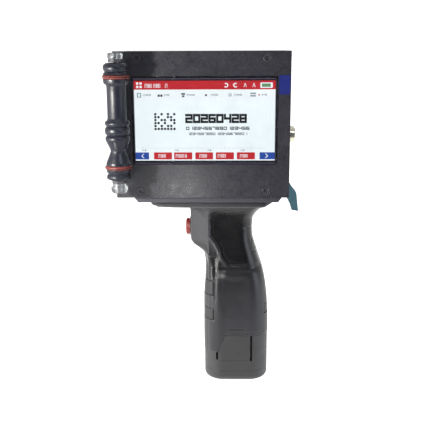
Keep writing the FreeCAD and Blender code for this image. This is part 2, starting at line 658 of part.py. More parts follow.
def rollers():
    """Both guide rollers: the rear one mirrors the front one and carries the line encoder."""
    for name, solid in front_roller_parts().items():
        node(f"front_{name}", solid)
        node(f"rear_{name}", mirrored(solid, (0, 1, 0)))
    screws = []
    for z in BRACKET_SCREW_HEIGHTS:
        length = 4.4
        near = join(rod("Y", 1.6, 1.2, "roller_x + 0.2", "-box_half + panel_sheet", z),
                    rod("Y", 1.0, "panel_sheet + 1.4", "roller_x + 0.2", "-box_half - 1.4", z))
        screws += [near, mirrored(near, (0, 1, 0))]
    node("bracket_screws", group(*screws))
    sensor = block("box_front + 1", "box_front + 8", "box_half + spine_sheet", "roller_y - 8.8",
                   "box_base + 60", "box_base + 70")
    node("encoder_sensor", rounded(sensor, 0.5, lambda edge: is_along(edge, 2)))


# ---------------------------------------------------------------- rear wall

def rear_controls():
    """Metal power button with its nut, and the data socket."""
    wall = "box_rear"
    collar = cone("X", "power_radius", "power_radius - 0.7", "power_stand", wall, "power_y", "power_z")
    barrel = join(collar, rod("X", "power_barrel", 16, f"{wall} - 16", "power_y", "power_z"))
    bore = rod("X", "power_bore", "power_stand + 2", f"{wall} - 1", "power_y", "power_z")
    node("power_button_body", minus(barrel, bore))
    nut = minus(rod("X", 7.0, 2.6, f"{wall} - box_wall - 2.6", "power_y", "power_z"),
                rod("X", "power_barrel", 8, f"{wall} - 8", "power_y", "power_z"))
    node("power_button_nut", nut)
    cap = rod("X", "power_cap", 3.2, f"{wall} + 1.8", "power_y", "power_z")
    node("power_button_cap", rounded(cap, 0.6, lambda edge: edge.CenterOfMass.x > size("box_rear + 4.9")))
    shell = block(f"{wall} - 14", f"{wall} + 0.3", "usb_y - 2.9", "usb_y + 2.9", "usb_z - 6.6",
                  "usb_z + 6.6")
    mouth = block(f"{wall} - 10", f"{wall} + 1", "usb_y - 2.5", "usb_y + 2.5", "usb_z - 6.2",
                  "usb_z + 6.2")
    tongue = block(f"{wall} - 10.5", f"{wall} - 1", "usb_y + 0.3", "usb_y + 2.1", "usb_z - 5.6",
                   "usb_z + 5.6")
    node("usb_socket", join(minus(shell, mouth), tongue))


# ---------------------------------------------------------------- adapter plate

def plate_screws():
    """Centres of the screws between the adapter plate and the box."""
    for x in ("plate_x0 + 7", "plate_x1 - 8"):
        for y in ("5 - plate_half", "plate_half - 5"):
            yield x, y


def flange_screws():
    """Centres of the screws between the grip's flange and the adapter plate."""
    for y in ("6 - flange_half", "flange_half - 6"):
        yield "flange_x0 + 7", y


def adapter():
    """The plate between box and grip, with sloping ends."""
    low = "box_base - plate_sheet"
    contour = [("plate_x0", "box_base"), ("plate_x0 + plate_slope", low),
               ("plate_x1 - plate_slope", low), ("plate_x1", "box_base")]
    body = side_profile("adapter", contour, "plate_half")
    cable = block("neck_hole_x0", "neck_hole_x1", "-neck_hole_half", "neck_hole_half",
                  f"{low} - 1", "box_base + 1")
    sunk = [screw_form("Z", 1.4, 8, 2.8, 1.6, x, y, low) for x, y in plate_screws()]
    holes = [rod("Z", 1.25, 5, x, y, f"{low} - 1") for x, y in flange_screws()]
    node("adapter_plate", minus(body, cable, *sunk, *holes))
    upper = [screw("Z", "thread_hole", "plate_sheet + 2", 2.6, 1.6, x, y, low) for x, y in plate_screws()]
    lower = [screw("Z", "thread_hole", 9, 2.6, 1.6, x, y, "flange_z") for x, y in flange_screws()]
    node("adapter_screws", group(*upper, *lower))


# ---------------------------------------------------------------- grip

def grip_loft(name, inset, numbers):
    """The grip's smooth body through its stations, each pulled in by the inset."""
    sections = []
    for number in numbers:
        sections.append(round_section(
            f"{name}_section", f"grip_front_{number} + {inset}", f"grip_back_{number} - {inset}",
            f"grip_depth_{number} - {inset}", f"grip_corner_{number} - {inset}",
            f"grip_height_{number}"))
    return lofted(name, sections)


def seam_tool(name, drop, z_low, z_high):
    """A wide prism whose edge is the stepped seam, reaching from the seam to z_low or z_high."""
    left, right = -60, 60
    seam = [(left, f"seam_lo - {drop}"), (f"seam_x0 + {drop} / 2", f"seam_lo - {drop}"),
            (f"seam_x1 + {drop} / 2", f"seam_hi - {drop}"), (right, f"seam_hi - {drop}")]
    far = z_low if z_high is None else z_high
    return side_profile(name, [*seam, (right, far), (left, far)], 40)


def boss():
    """The block on the front strap that carries the trigger button."""
    body = side_profile("boss", BOSS_OUTLINE, "boss_half")
    return soften(body, 2.4, lambda edge: is_along(edge, 2) and edge.CenterOfMass.x < -30)


def grip_outside():
    """Outer form of the grip: body, flange and trigger boss."""
    body = grip_loft("grip_body", 0, range(1, len(GRIP_STATIONS) + 1))
    flange = block("flange_x0", "flange_x1", "-flange_half", "flange_half", "flange_z",
                   "box_base - plate_sheet")
    flange = rounded(flange, 8.0, lambda edge: is_along(edge, 2))
    flange = rounded(flange, 1.6, lambda edge: edge.CenterOfMass.z < size("flange_z + 0.1"))
    return join(body, flange, boss())


def thumb_recess():
    """Shallow flat recess for the thumb on one side of the neck."""
    body = new_body("recess")
    pad(body, outline(body, "XZ_Plane", THUMB_OUTLINE, "recess_floor"), 20)
    soften(body, 1.2, lambda edge: is_along(edge, 1))
    return place(body)


def grip_shells():
    """The two halves of the grip with their screw studs, and the pads let into them."""
    solid = grip_outside()
    wires = block("neck_hole_x0", "neck_hole_x1", "-neck_hole_half", "neck_hole_half", 118,
                  "box_base")
    boss_room = block("boss_x + boss_wall", -15, "2 - boss_half", "boss_half - 2", 105, 131)
    button_hole = rod("X", "trigger_radius + 0.2", 8, "boss_x - 3", 0, "trigger_z")
    bars = [block(-4.9, 6.6, *span, 41.2, 42.8) for span in ((-22, -20), (20, 22))]
    recess = thumb_recess()
    holes = [rod("Z", "thread_hole + 0.15", 12, x, y, "flange_z - 2") for x, y in flange_screws()]
    heads = [cone("Z", 2.8, 1.5, 1.6, x, y, "flange_z") for x, y in flange_screws()]
    seam = seam_tool("seam_below", 0, 0, None)
    pads = strap_pads(solid)
    cavity = grip_loft("grip_cavity", "grip_wall", CAVITY_STATIONS)
    outside = minus(solid, seam, wires, boss_room, button_hole, *bars, recess,
                    mirrored(recess, (0, 1, 0)), *holes, *heads, *pads)
    shell = minus(outside, cavity)
    studs = minus(overlap(join(*[rod("Y", "stud_radius", 44, x, -22, z) for x, z in STUD_PLACES]),
                          solid), recess, mirrored(recess, (0, 1, 0)), *pads)
    bores = [rod("Y", "thread_hole", 30, x, -12, z) for x, z in STUD_PLACES]
    sinks = [rod("Y", 2.8, 14, x, 12.5, z) for x, z in STUD_PLACES]
    whole = minus(join(shell, studs), *bores, *sinks)
    for side, (low, high) in (("front", (-30, 0)), ("back", (0, 30))):
        half = block(-80, 40, low, high, 10, 150)
        node(f"grip_shell_{side}", overlap(whole, half))
    screws = [mirrored(screw("Y", "thread_hole", 22, 2.5, 1.5, x, -14.1, z), (0, 1, 0))
              for x, z in STUD_PLACES]
    node("grip_screws", group(*screws))


def strap_pads(solid):
    """Soft pads let into the front and back straps, cut from the grip's own skin."""
    core = grip_loft("pad_core", PAD_DEPTH, range(1, len(GRIP_STATIONS)))
    pads = []
    for side, bands in PAD_BANDS.items():
        x0, x1 = PAD_EDGE[side]
        strips = [minus(overlap(solid, block(x0, x1, -14, 14, z0, z1)), core) for z0, z1 in bands]
        node(f"{side}_strap_pads", group(*strips) if len(strips) > 1 else strips[0])
        pads += strips
    return pads


def trigger():
    """The red button, its bezel, return spring and switch."""
    inside = "boss_x + boss_wall"
    head = rod("X", "trigger_radius", f"{inside} - trigger_face + 0.4", "trigger_face", 0, "trigger_z")
    head = rounded(head, 1.3, lambda edge: edge.CenterOfMass.x < size("trigger_face + 0.1"))
    collar = rod("X", "trigger_radius + 1.2", 1.2, f"{inside} + 0.2", 0, "trigger_z")
    stem = rod("X", 1.8, 3, f"{inside} + 1.2", 0, "trigger_z")
    node("trigger_button", join(head, collar, stem))
    ring = minus(rod("X", "trigger_radius + 1.1", 0.9, "boss_x - 0.75", 0, "trigger_z"),
                 rod("X", "trigger_radius + 0.2", 3, "boss_x - 2", 0, "trigger_z"))
    node("trigger_bezel", minus(ring, block("boss_x", "boss_x + 5", -10, 10, 100, 130)))
    switch_front = f"{inside} + 1.2 + 5.4"
    switch = block(switch_front, f"{switch_front} + 9", "2 - boss_half", "boss_half - 2",
                   "trigger_z - 7", "trigger_z + 7")
    node("trigger_switch", switch)
    spring_start = f"{inside} + 1.4"
    node("trigger_spring", coil(3.2, 0.35, spring_start, 5.2, 4))


def coil(radius, wire, x, length, turns):
    """A compression spring along +X from x."""
    rise = length - 2 * wire
    helix = Part.Wire(Part.makeHelix(rise / turns, rise, radius))
    section = Part.Wire(Part.makeCircle(wire, V(radius, 0, 0), V(0, 1, 0)))
    spring = doc.addObject("Part::Feature", "coil")
    spring.Shape = helix.makePipeShell([section], True, True)
    return place(spring, f"{x} + {wire}", 0, "trigger_z", "X")


# ---------------------------------------------------------------- battery

def pack_prism(name, inset, z0, z1):
    """An upright bar with the battery's outline, pulled in by the inset."""
    return prism(name, f"-pack_half_x + {inset}", f"pack_half_x - {inset}",
                 f"pack_half_y - {inset}", f"pack_corner - {inset}", z0, z1)


def stem_prism(name, inset, z0, z1):
    """An upright bar with the outline of the battery's stem."""
    return prism(name, f"stem_x0 + {inset}", f"stem_x1 - {inset}", f"stem_half - {inset}",
                 f"stem_corner - {inset}", z0, z1)


def battery():
    """Case with two sprung tongues, base cap, stem, cells and board."""
    above = seam_tool("seam_above", "seam_gap", None, 90)
    jacket = minus(pack_prism("jacket", 0, "cap_top", "seam_hi + 1"),
                   pack_prism("jacket_room", "pack_wall", "cap_top + 2", "seam_hi + 2"),
                   stem_prism("jacket_floor", 0, "cap_top - 1", "cap_top + 3"))
    windows = []
    for low, high in ((-22, -12), (12, 22)):
        windows += [
            block("tongue_x0", "tongue_x1", low, high, "tongue_z - 0.15", "seam_hi + 2"),
            block("tongue_x0 - slit", "tongue_x0 + 0.1", low, high, "tongue_z + 0.4", "seam_hi + 2"),
            block("tongue_x1 - 0.1", "tongue_x1 + slit", low, high, "tongue_z - 0.6", "seam_hi + 2"),
        ]
    node("battery_case", minus(jacket, above, *windows))
    skin = minus(pack_prism("tongue_skin", 0, "tongue_z", "seam_hi"),
                 pack_prism("tongue_core", "tongue_sheet", "tongue_z - 1", "seam_hi + 1"), above)
    for side, (low, high) in (("front", (-22, -12)), ("back", (12, 22))):
        strip = block("tongue_x0", "tongue_x1", low, high, "tongue_z", "seam_hi + 1")
        node(f"battery_tongue_{side}", overlap(skin, strip))
    base = pack_prism("base", 0, 0, "cap_top")
    base = rounded(base, 4.2, lambda edge: edge.CenterOfMass.z < 0.1)
    base = rounded(base, "seam_round", lambda edge: edge.CenterOfMass.z > size("cap_top - 0.1"))
    well = stem_prism("base_well", 0, 2.4, "cap_top + 1")
    node("battery_base_cap", minus(base, well))
    stem = minus(stem_prism("stem", 0, 2.4, "stem_top"),
                 stem_prism("stem_room", "stem_wall", 1.4, "stem_top - stem_wall"))
    node("battery_stem", rounded(stem, 0.6, lambda edge: edge.CenterOfMass.z > size("stem_top") - 0.01
                                 and edge.BoundBox.ZLength < 0.01))
    cells()
    node("battery_board", block(-15, 13, -12, 12, 68.6, 70.2))
    pads = [block(x, f"{x} + 5", -3.5, 3.5, "stem_top", "stem_top + 0.4") for x in CONTACT_PLACES]
    node("battery_contacts", group(*pads))


def cells():
    """Three upright cells, two abreast and one nested behind them."""
    middle = "(stem_x0 + stem_x1) / 2"
    rise = "cell_pitch * 0.433"
    places = ((f"{middle} - cell_pitch / 2", f"-{rise}"), (f"{middle} + cell_pitch / 2", f"-{rise}"),
              (middle, rise))
    solids = [rod("Z", "cell_radius - 0.05", "cell_length", x, y, "cell_z") for x, y in places]
    node("battery_cells", group(*solids))


def terminals():
    """The contact block in the grip that meets the battery's pads, and the wires up to the board."""
    room = grip_loft("terminal_room", "grip_wall", CAVITY_STATIONS)
    slab = overlap(block(-22, 10, -20, 20, 74.5, 82.5), room)
    node("terminal_block", slab)
    blades = [block(f"{x} + 1", f"{x} + 4", -1.5, 1.5, "stem_top + 0.7", 74.5)
              for x in CONTACT_PLACES]
    node("terminal_blades", group(*blades))
    node("power_harness", group(*[wire(x) for x in WIRE_STARTS]))


def wire(x):
    """One wire from the contact block to the board's header, in straight runs joined by arcs."""
    route = [V(x, 0, 82.5), V(x, 0, 120), V(x, -2, 146), V(x - 4, -12, 158), V(x - 9.5, -17.4, 173)]
    edges = []
    start = route[0]
    for before, corner, after in zip(route, route[1:], route[2:]):
        back = (before - corner).normalize()
        ahead = (after - corner).normalize()
        turn = back.getAngle(ahead)
        run = min((before - corner).Length, (after - corner).Length)
        reach = 0.4 * run
        enter, leave = corner + back * reach, corner + ahead * reach
        bisector = (back + ahead).normalize()
        bend = reach * tangent(turn / 2)
        middle = corner + bisector * ((reach * reach + bend * bend) ** 0.5 - bend)
        edges += [Part.LineSegment(start, enter).toShape(), Part.Arc(enter, middle, leave).toShape()]
        start = leave
    edges.append(Part.LineSegment(start, route[-1]).toShape())
    path = Part.Wire(edges)
    section = Part.Wire(Part.makeCircle(WIRE_RADIUS, route[0], V(0, 0, 1)))
    strand = doc.addObject("Part::Feature", "strand")
    strand.Shape = path.makePipeShell([section], True, True)
    return strand


def tangent(angle):
    """Tangent of an angle in radians."""
    ray = FreeCAD.Rotation(V(0, 0, 1), angle / DEGREE).multVec(V(1, 0, 0))
    return ray.y / ray.x


# ---------------------------------------------------------------- build and write

def check():
    """Stop if any object failed or any sub-part is not a valid shape."""
    for item in doc.Objects:
        if {"Invalid", "Error"} & set(item.State):
            raise RuntimeError(f"{item.Name} ({item.Label}) failed: {item.State}")
    for item in nodes:
        if item.Shape.isNull() or not item.Shape.isValid():
            raise RuntimeError(f"{item.Label} has no valid shape")


def write():
    """One STEP file for each sub-part."""
    os.makedirs("parts", exist_ok=True)
    for item in nodes:
        item.Shape.exportStep(f"parts/{item.Label}.step")
        print(f"{item.Label}: {len(item.Shape.Solids)} solid(s), {item.Shape.Volume / 1000:.2f} cm3")


fill_sheet()
chassis()
panels()
screen()
electronics()
cartridge_bay()
cartridge()
latch()
nose()
rollers()
rear_controls()
adapter()
grip_shells()
trigger()
battery()
terminals()
doc.recompute()
check()
write()
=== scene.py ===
import json
import math

import bmesh
import bpy
import numpy as np
from mathutils import Matrix, Vector

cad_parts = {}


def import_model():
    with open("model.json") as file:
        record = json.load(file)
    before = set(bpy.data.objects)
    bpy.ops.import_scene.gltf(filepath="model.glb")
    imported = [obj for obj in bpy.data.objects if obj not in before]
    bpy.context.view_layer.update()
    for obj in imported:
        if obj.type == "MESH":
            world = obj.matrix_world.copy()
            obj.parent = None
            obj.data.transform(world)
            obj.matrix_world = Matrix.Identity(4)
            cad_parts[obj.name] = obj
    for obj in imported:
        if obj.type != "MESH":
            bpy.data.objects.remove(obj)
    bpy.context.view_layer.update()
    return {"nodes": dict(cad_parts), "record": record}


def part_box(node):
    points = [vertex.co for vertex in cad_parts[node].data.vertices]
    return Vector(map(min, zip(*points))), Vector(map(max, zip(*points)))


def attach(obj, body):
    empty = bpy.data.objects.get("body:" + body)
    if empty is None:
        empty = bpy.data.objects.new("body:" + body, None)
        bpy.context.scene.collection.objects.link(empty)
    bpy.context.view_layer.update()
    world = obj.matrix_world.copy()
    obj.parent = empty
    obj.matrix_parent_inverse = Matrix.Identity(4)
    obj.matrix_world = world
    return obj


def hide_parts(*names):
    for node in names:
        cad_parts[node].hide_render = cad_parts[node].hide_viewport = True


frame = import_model()

MM = 0.001
NODES = frame["nodes"]
PIXEL_PITCH = 0.16


# ---------------------------------------------------------------- materials

def srgb(red, green, blue):
    """Linear colour from the 0-255 values of an ordinary colour picker."""
    def linear(value):
        value /= 255
        return value / 12.92 if value <= 0.04045 else ((value + 0.055) / 1.055) ** 2.4
    return (linear(red), linear(green), linear(blue), 1.0)


def shade(colour, factor):
    return tuple(min(1.0, channel * factor) for channel in colour[:3]) + (1.0,)


class Recipe:
    """A node material built up from small steps, in the object's own metres."""

    def __init__(self, name):
        self.material = bpy.data.materials.new(name)
        self.material.use_nodes = True
        self.tree = self.material.node_tree
        self.tree.nodes.clear()
        output = self.add("ShaderNodeOutputMaterial")
        self.shader = self.add("ShaderNodeBsdfPrincipled")
        self.place = self.add("ShaderNodeTexCoord").outputs["Object"]
        self.link(self.shader.outputs[0], output.inputs["Surface"])

    def add(self, kind, **values):
        made = self.tree.nodes.new(kind)
        for key, value in values.items():
            setattr(made, key, value)
        return made

    def link(self, source, target):
        self.tree.links.new(source, target)

    def put(self, **values):
        for key, value in values.items():
            self.shader.inputs[key.replace("_", " ")].default_value = value
        return self

    def noise(self, size, detail=3.0, stretch=None):
        """Noise whose features are about size millimetres across."""
        made = self.add("ShaderNodeTexNoise")
        made.inputs["Scale"].default_value = 1 / (size * MM)
        made.inputs["Detail"].default_value = detail
        source = self.place
        if stretch:
            mapping = self.add("ShaderNodeMapping")
            mapping.inputs["Scale"].default_value = stretch
            self.link(source, mapping.inputs["Vector"])
            source = mapping.outputs[0]
        self.link(source, made.inputs["Vector"])
        return made.outputs["Fac"]

    def span(self, source, low, high, start=0.3, end=0.7):
        """The source's start to end, mapped to low to high."""
        made = self.add("ShaderNodeMapRange")
        for key, value in (("From Min", start), ("From Max", end), ("To Min", low), ("To Max", high)):
            made.inputs[key].default_value = value
        self.link(source, made.inputs["Value"])
        return made.outputs["Result"]

    def mix(self, factor, first, second):
        """Colour mixed by factor; each colour is a value or a socket."""
        made = self.add("ShaderNodeMix", data_type="RGBA")
        self.link(factor, made.inputs["Factor"])
        for socket, value in ((made.inputs["A"], first), (made.inputs["B"], second)):
            if isinstance(value, tuple):
                socket.default_value = value
            else:
                self.link(value, socket)
        return made.outputs["Result"]

    def combine(self, operation, first, second):
        made = self.add("ShaderNodeMath", operation=operation)
        self.link(first, made.inputs[0])
        self.link(second, made.inputs[1])
        return made.outputs[0]

    def larger(self, first, second):
        return self.combine("MAXIMUM", first, second)

    def product(self, first, second):
        return self.combine("MULTIPLY", first, second)

    def edges(self, radius):
        """1 near a sharp edge and 0 on flat or smooth surface."""
        bevel = self.add("ShaderNodeBevel", samples=4)
        bevel.inputs["Radius"].default_value = radius * MM
        plain = self.add("ShaderNodeNewGeometry")
        dot = self.add("ShaderNodeVectorMath", operation="DOT_PRODUCT")
        self.link(bevel.outputs[0], dot.inputs[0])
        self.link(plain.outputs["Normal"], dot.inputs[1])
        return self.span(dot.outputs["Value"], 1.0, 0.0, 0.90, 0.995)

    def bump(self, *layers):
        """Stacked bumps, each a height source with its depth in millimetres."""
        normal = None
        for height, depth in layers:
            made = self.add("ShaderNodeBump")
            made.inputs["Distance"].default_value = depth * MM
            self.link(height, made.inputs["Height"])
            if normal:
                self.link(normal, made.inputs["Normal"])
            normal = made.outputs[0]
        self.link(normal, self.shader.inputs["Normal"])

    def colour(self, source):
        self.link(source, self.shader.inputs["Base Color"])

    def roughness(self, source):
        self.link(source, self.shader.inputs["Roughness"])


def moulded(name, colour, rough, grain, depth, wear, spread=0.12, edge=0.35, **put):
    """Moulded or painted surface: fine grain, faint cloudy patches and lighter worn edges."""
    recipe = Recipe(name).put(**put)
    fine = recipe.noise(grain, 4.0)
    cloud = recipe.noise(18.0, 3.0)
    base = recipe.mix(recipe.span(cloud, 0, 1), shade(colour, 1 - spread), shade(colour, 1 + spread))
    speck = recipe.mix(recipe.span(fine, 0, 1, 0.35, 0.68), base, shade(colour, 1 + 1.6 * spread))
    scuff = recipe.product(recipe.edges(edge), recipe.span(recipe.noise(3.0, 4.0), 0.25, 0.9))
    recipe.colour(recipe.mix(scuff, speck, shade(colour, wear)))
    recipe.roughness(recipe.span(recipe.noise(6.0, 5.0), rough - 0.05, rough + 0.07))
    recipe.bump((fine, depth), (recipe.noise(grain * 4, 2.0), 0.2 * depth))
    return recipe.material


def metal(name, colour, rough, brushed):
    """Bare metal with fine lines from turning or rolling."""
    recipe = Recipe(name).put(Metallic=1.0)
    lines = recipe.noise(0.6, 3.0, brushed)
    stain = recipe.noise(5.0, 4.0)
    recipe.colour(recipe.mix(recipe.span(stain, 0, 1), shade(colour, 0.82), colour))
    recipe.roughness(recipe.span(lines, rough - 0.08, rough + 0.12))
    recipe.bump((lines, 0.004))
    return recipe.material


def see_through(name, colour, rough, ior, grain, depth):
    """Clear or cloudy plastic with faint moulding ripples."""
    recipe = Recipe(name).put(Transmission_Weight=1.0, IOR=ior)
    ripple = recipe.noise(grain, 2.0)
    recipe.colour(recipe.mix(recipe.span(ripple, 0, 1), shade(colour, 0.96), colour))
    recipe.roughness(recipe.span(recipe.noise(8.0, 3.0), rough * 0.7, rough * 1.4))
    recipe.bump((ripple, depth))
    return recipe.material


def lit(name, colour, strength):
    """Colour shown by a display, with the faint mesh of its pixels."""
    recipe = Recipe(name).put(Roughness=0.4, Emission_Strength=strength)
    rows = recipe.add("ShaderNodeTexWave", bands_direction="Z")
    columns = recipe.add("ShaderNodeTexWave", bands_direction="X")
    for wave in (rows, columns):
        wave.inputs["Scale"].default_value = 1 / (PIXEL_PITCH * MM * math.tau) * 2
        recipe.link(recipe.place, wave.inputs["Vector"])
    mesh = recipe.product(*(recipe.span(wave.outputs["Fac"], 0.9, 1.0, 0, 0.4) for wave in (rows, columns)))
    cloud = recipe.mix(recipe.span(recipe.noise(30.0, 2.0), 0, 1), shade(colour, 0.94), colour)
    shown = recipe.mix(mesh, shade(colour, 0.8), cloud)
    recipe.link(shown, recipe.shader.inputs["Emission Color"])
    recipe.colour(recipe.mix(mesh, shade(colour, 0.03), shade(colour, 0.05)))
    return recipe.material


def grip_plastic():
    """Black moulding, matt on the straps, glossy with painted shade (near-black colour) in the recesses and under the
    flange, and pale where a painted highlight is laid on the flange edge and lips.
    """
    recipe = Recipe("grip_grey").put(Specular_IOR_Level=0.36)
    gloss_and_shade_share = recipe.add("ShaderNodeAttribute", attribute_name="polish").outputs["Fac"]
    fine, cloud = recipe.noise(0.35, 4.0), recipe.noise(14.0, 3.0)
    matt = recipe.mix(recipe.span(cloud, 0, 1), srgb(34, 34, 37), srgb(41, 41, 44))
    matt = recipe.mix(recipe.span(fine, 0, 1, 0.35, 0.68), matt, srgb(46, 46, 50))
    # near-black colour of the glossy places: painted shade, darker than the plastic's own tone
    smooth = recipe.mix(recipe.span(cloud, 0, 1), srgb(6, 6, 8), srgb(10, 10, 12))
    edge = recipe.product(recipe.edges(0.35), recipe.span(recipe.noise(3.0, 4.0), 0.2, 0.8))
    # pale grey laid on the flange's lower edge and the recess lips: painted highlight
    painted_highlight_share = recipe.add("ShaderNodeAttribute", attribute_name="worn").outputs["Fac"]
    skin = recipe.mix(painted_highlight_share, recipe.mix(gloss_and_shade_share, matt, smooth), srgb(110, 110, 109))
    recipe.colour(recipe.mix(edge, skin, srgb(70, 70, 76)))
    rough = recipe.add("ShaderNodeMix")
    recipe.link(gloss_and_shade_share, rough.inputs["Factor"])
    recipe.link(recipe.span(recipe.noise(5.0, 4.0), 0.40, 0.48), rough.inputs["A"])
    recipe.link(recipe.span(recipe.noise(9.0, 4.0), 0.24, 0.32), rough.inputs["B"])
    recipe.roughness(rough.outputs["Result"])
    recipe.bump((fine, 0.004), (recipe.noise(1.2, 2.0), 0.003))
    return recipe.material


MOULDINGS = (  # slot, colour, roughness, grain and bump depth in millimetres, brightness of worn edges
    ("battery_grey", (40, 40, 41), 0.5, 0.3, 0.012, 1.4),
    ("pad_rubber", (26, 26, 29), 0.5, 0.25, 0.015, 1.3),
    ("lcd_frame", (40, 40, 46), 0.35, 0.4, 0.004, 1.2),
    ("tab_blue", (19, 28, 92), 0.36, 0.8, 0.006, 1.2),
    ("board_green", (22, 92, 52), 0.4, 0.5, 0.01, 1.3),
    ("chip_black", (30, 30, 32), 0.5, 0.3, 0.01, 1.5),
    ("bay_plastic", (38, 39, 42), 0.5, 0.35, 0.012, 1.3),
    ("cartridge_plastic", (36, 37, 40), 0.38, 0.3, 0.01, 1.4),
    ("lid_plastic", (54, 56, 60), 0.42, 0.3, 0.01, 1.4),
    ("latch_teal", (62, 96, 106), 0.42, 0.35, 0.01, 1.3),
    ("ring_orange", (84, 25, 18), 0.55, 0.3, 0.01, 1.1),
    ("trigger_red", (100, 15, 15), 0.52, 0.4, 0.006, 1.2),
    ("cell_wrap", (36, 96, 150), 0.35, 0.6, 0.01, 1.3),
    ("wire_red", (180, 40, 34), 0.45, 0.3, 0.01, 1.1),
    ("adapter_grey", (45, 45, 53), 0.55, 0.35, 0.015, 1.4),
)
METALS = (  # slot, colour, roughness, how the brushed lines are stretched
    ("nozzle_gold", (224, 180, 92), 0.3, (1, 1, 14)),
    ("brass", (214, 176, 96), 0.32, (1, 1, 14)),
    ("steel", (176, 176, 178), 0.3, (1, 1, 14)),
    ("nose_steel", (168, 169, 172), 0.34, (14, 1, 1)),
    ("button_metal", (196, 194, 174), 0.24, (10, 1, 1)),
)
FINISHES = {name: moulded(name, srgb(*colour), *rest) for name, colour, *rest in MOULDINGS}
FINISHES.update({name: metal(name, srgb(*colour), *rest) for name, colour, *rest in METALS})
FINISHES.update({
    "grip_grey": grip_plastic(),
    "panel_black": moulded("panel_black", srgb(34, 34, 39), 0.35, 1.5, 0.09, 2.0, spread=0.34),
    "screw_black": moulded("screw_black", srgb(54, 54, 58), 0.36, 0.4, 0.01, 2.6, edge=0.2, Metallic=0.3),
    "roller_black": moulded("roller_black", srgb(13, 15, 25), 0.38, 0.6, 0.01, 1.5, Specular_IOR_Level=0.3),
    "screen_glass": see_through("screen_glass", (0.98, 0.99, 1.0, 1.0), 0.02, 1.45, 30.0, 0.002),
    "film_clear": see_through("film_clear", (0.97, 0.98, 1.0, 1.0), 0.015, 1.3, 12.0, 0.01),
    "cap_clear": see_through("cap_clear", (0.62, 0.65, 0.66, 1.0), 0.4, 1.46, 2.0, 0.03),
})

for slot in frame["record"]["materials"]:
    for node in NODES.values():
        for number, held in enumerate(node.data.materials):
            if held and held.name.split(".")[0] == slot["slot"]:
                node.material_slots[number].material = FINISHES[slot["slot"]]

for held in NODES["adapter_plate"].material_slots:
    held.material = FINISHES["adapter_grey"]


# ---------------------------------------------------------------- mesh helpers

def smoothstep(low, high, value):
    t = np.clip((value - low) / (high - low), 0, 1)
    return t * t * (3 - 2 * t)


def new_object(name, data):
    made = bpy.data.objects.new(name, data)
    bpy.context.scene.collection.objects.link(made)
    return made


def new_piece(name, points, faces, body, slot, angle=35):
    """A mesh piece in millimetres, smooth except at edges sharper than angle, riding on a body."""
    mesh = bpy.data.meshes.new(name)
    mesh.from_pydata([Vector(point) * MM for point in points], [], faces)
    mesh.validate()
    work = bmesh.new()
    work.from_mesh(mesh)
    bmesh.ops.recalc_face_normals(work, faces=work.faces)
    work.to_mesh(mesh)
    work.free()
    made = new_object(name, mesh)
    mesh.shade_smooth()
    mesh.set_sharp_from_angle(angle=math.radians(angle))
    mesh.materials.append(FINISHES[slot])
    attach(made, body)
    return made


def grid_faces(rows, columns, offset=0, closed=False):
    """Quads of a grid of points stored row by row."""
    last = columns if closed else columns - 1
    return [(offset + row * columns + column,
             offset + row * columns + (column + 1) % columns,
             offset + (row + 1) * columns + (column + 1) % columns,
             offset + (row + 1) * columns + column)
            for row in range(rows - 1) for column in range(last)]


def closed_sheet(outer, inner):
    """Points and faces of a shell between two grids of the same shape."""
    rows, columns = outer.shape[:2]
    count = rows * columns
    points = np.concatenate([outer.reshape(-1, 3), inner.reshape(-1, 3)])
    faces = grid_faces(rows, columns) + grid_faces(rows, columns, count)
    rim = (list(range(columns))
           + [row * columns + columns - 1 for row in range(1, rows)]
           + [(rows - 1) * columns + column for column in range(columns - 2, -1, -1)]
           + [row * columns for row in range(rows - 2, 0, -1)])
    faces += [(a, b, b + count, a + count) for a, b in zip(rim, rim[1:] + rim[:1])]
    return points.tolist(), faces


def hermite(x, xs, ys):
    """Smooth curve through the points that doesn't overshoot between them."""
    xs, ys = np.asarray(xs, float), np.asarray(ys, float)
    steps = np.diff(xs)
    slopes = np.diff(ys) / steps
    inner = np.where(slopes[:-1] * slopes[1:] > 0,
                     2 * slopes[:-1] * slopes[1:] / np.where(slopes[:-1] + slopes[1:] == 0, 1,
                                                             slopes[:-1] + slopes[1:]), 0)
    tangents = np.concatenate([[slopes[0]], inner, [slopes[-1]]])
    place = np.clip(np.searchsorted(xs, x) - 1, 0, len(xs) - 2)
    width = steps[place]
    t = np.clip((x - xs[place]) / width, 0, 1)
    return ((2 * t**3 - 3 * t**2 + 1) * ys[place] + (t**3 - 2 * t**2 + t) * width * tangents[place]
            + (3 * t**2 - 2 * t**3) * ys[place + 1] + (t**3 - t**2) * width * tangents[place + 1])


def inside_distance(x, z, corners):
    """Signed distance to a polygon in the X-Z plane, positive inside."""
    distance = np.full(np.shape(x), 1e9)
    within = np.zeros(np.shape(x), bool)
    for (x0, z0), (x1, z1) in zip(corners, corners[1:] + corners[:1]):
        dx, dz = x1 - x0, z1 - z0
        t = np.clip(((x - x0) * dx + (z - z0) * dz) / (dx * dx + dz * dz), 0, 1)
        distance = np.minimum(distance, np.hypot(x - x0 - t * dx, z - z0 - t * dz))
        crosses = (z0 > z) != (z1 > z)
        within ^= crosses & (x < (z - z0) / (dz if dz else 1e-9) * dx + x0)
    return np.where(within, distance, -distance)


def rounded_rectangle(x, y, x0, x1, half, corner):
    """Signed distance to a rounded rectangle, negative inside."""
    qx = np.abs(x - (x0 + x1) / 2) - (x1 - x0) / 2 + corner
    qy = np.abs(y) - half + corner
    return np.hypot(np.maximum(qx, 0), np.maximum(qy, 0)) + np.minimum(np.maximum(qx, qy), 0) - corner


def smooth_union(a, b, radius):
    h = np.clip(0.5 + 0.5 * (b - a) / radius, 0, 1)
    return b * (1 - h) + a * h - radius * h * (1 - h)


# ---------------------------------------------------------------- grip

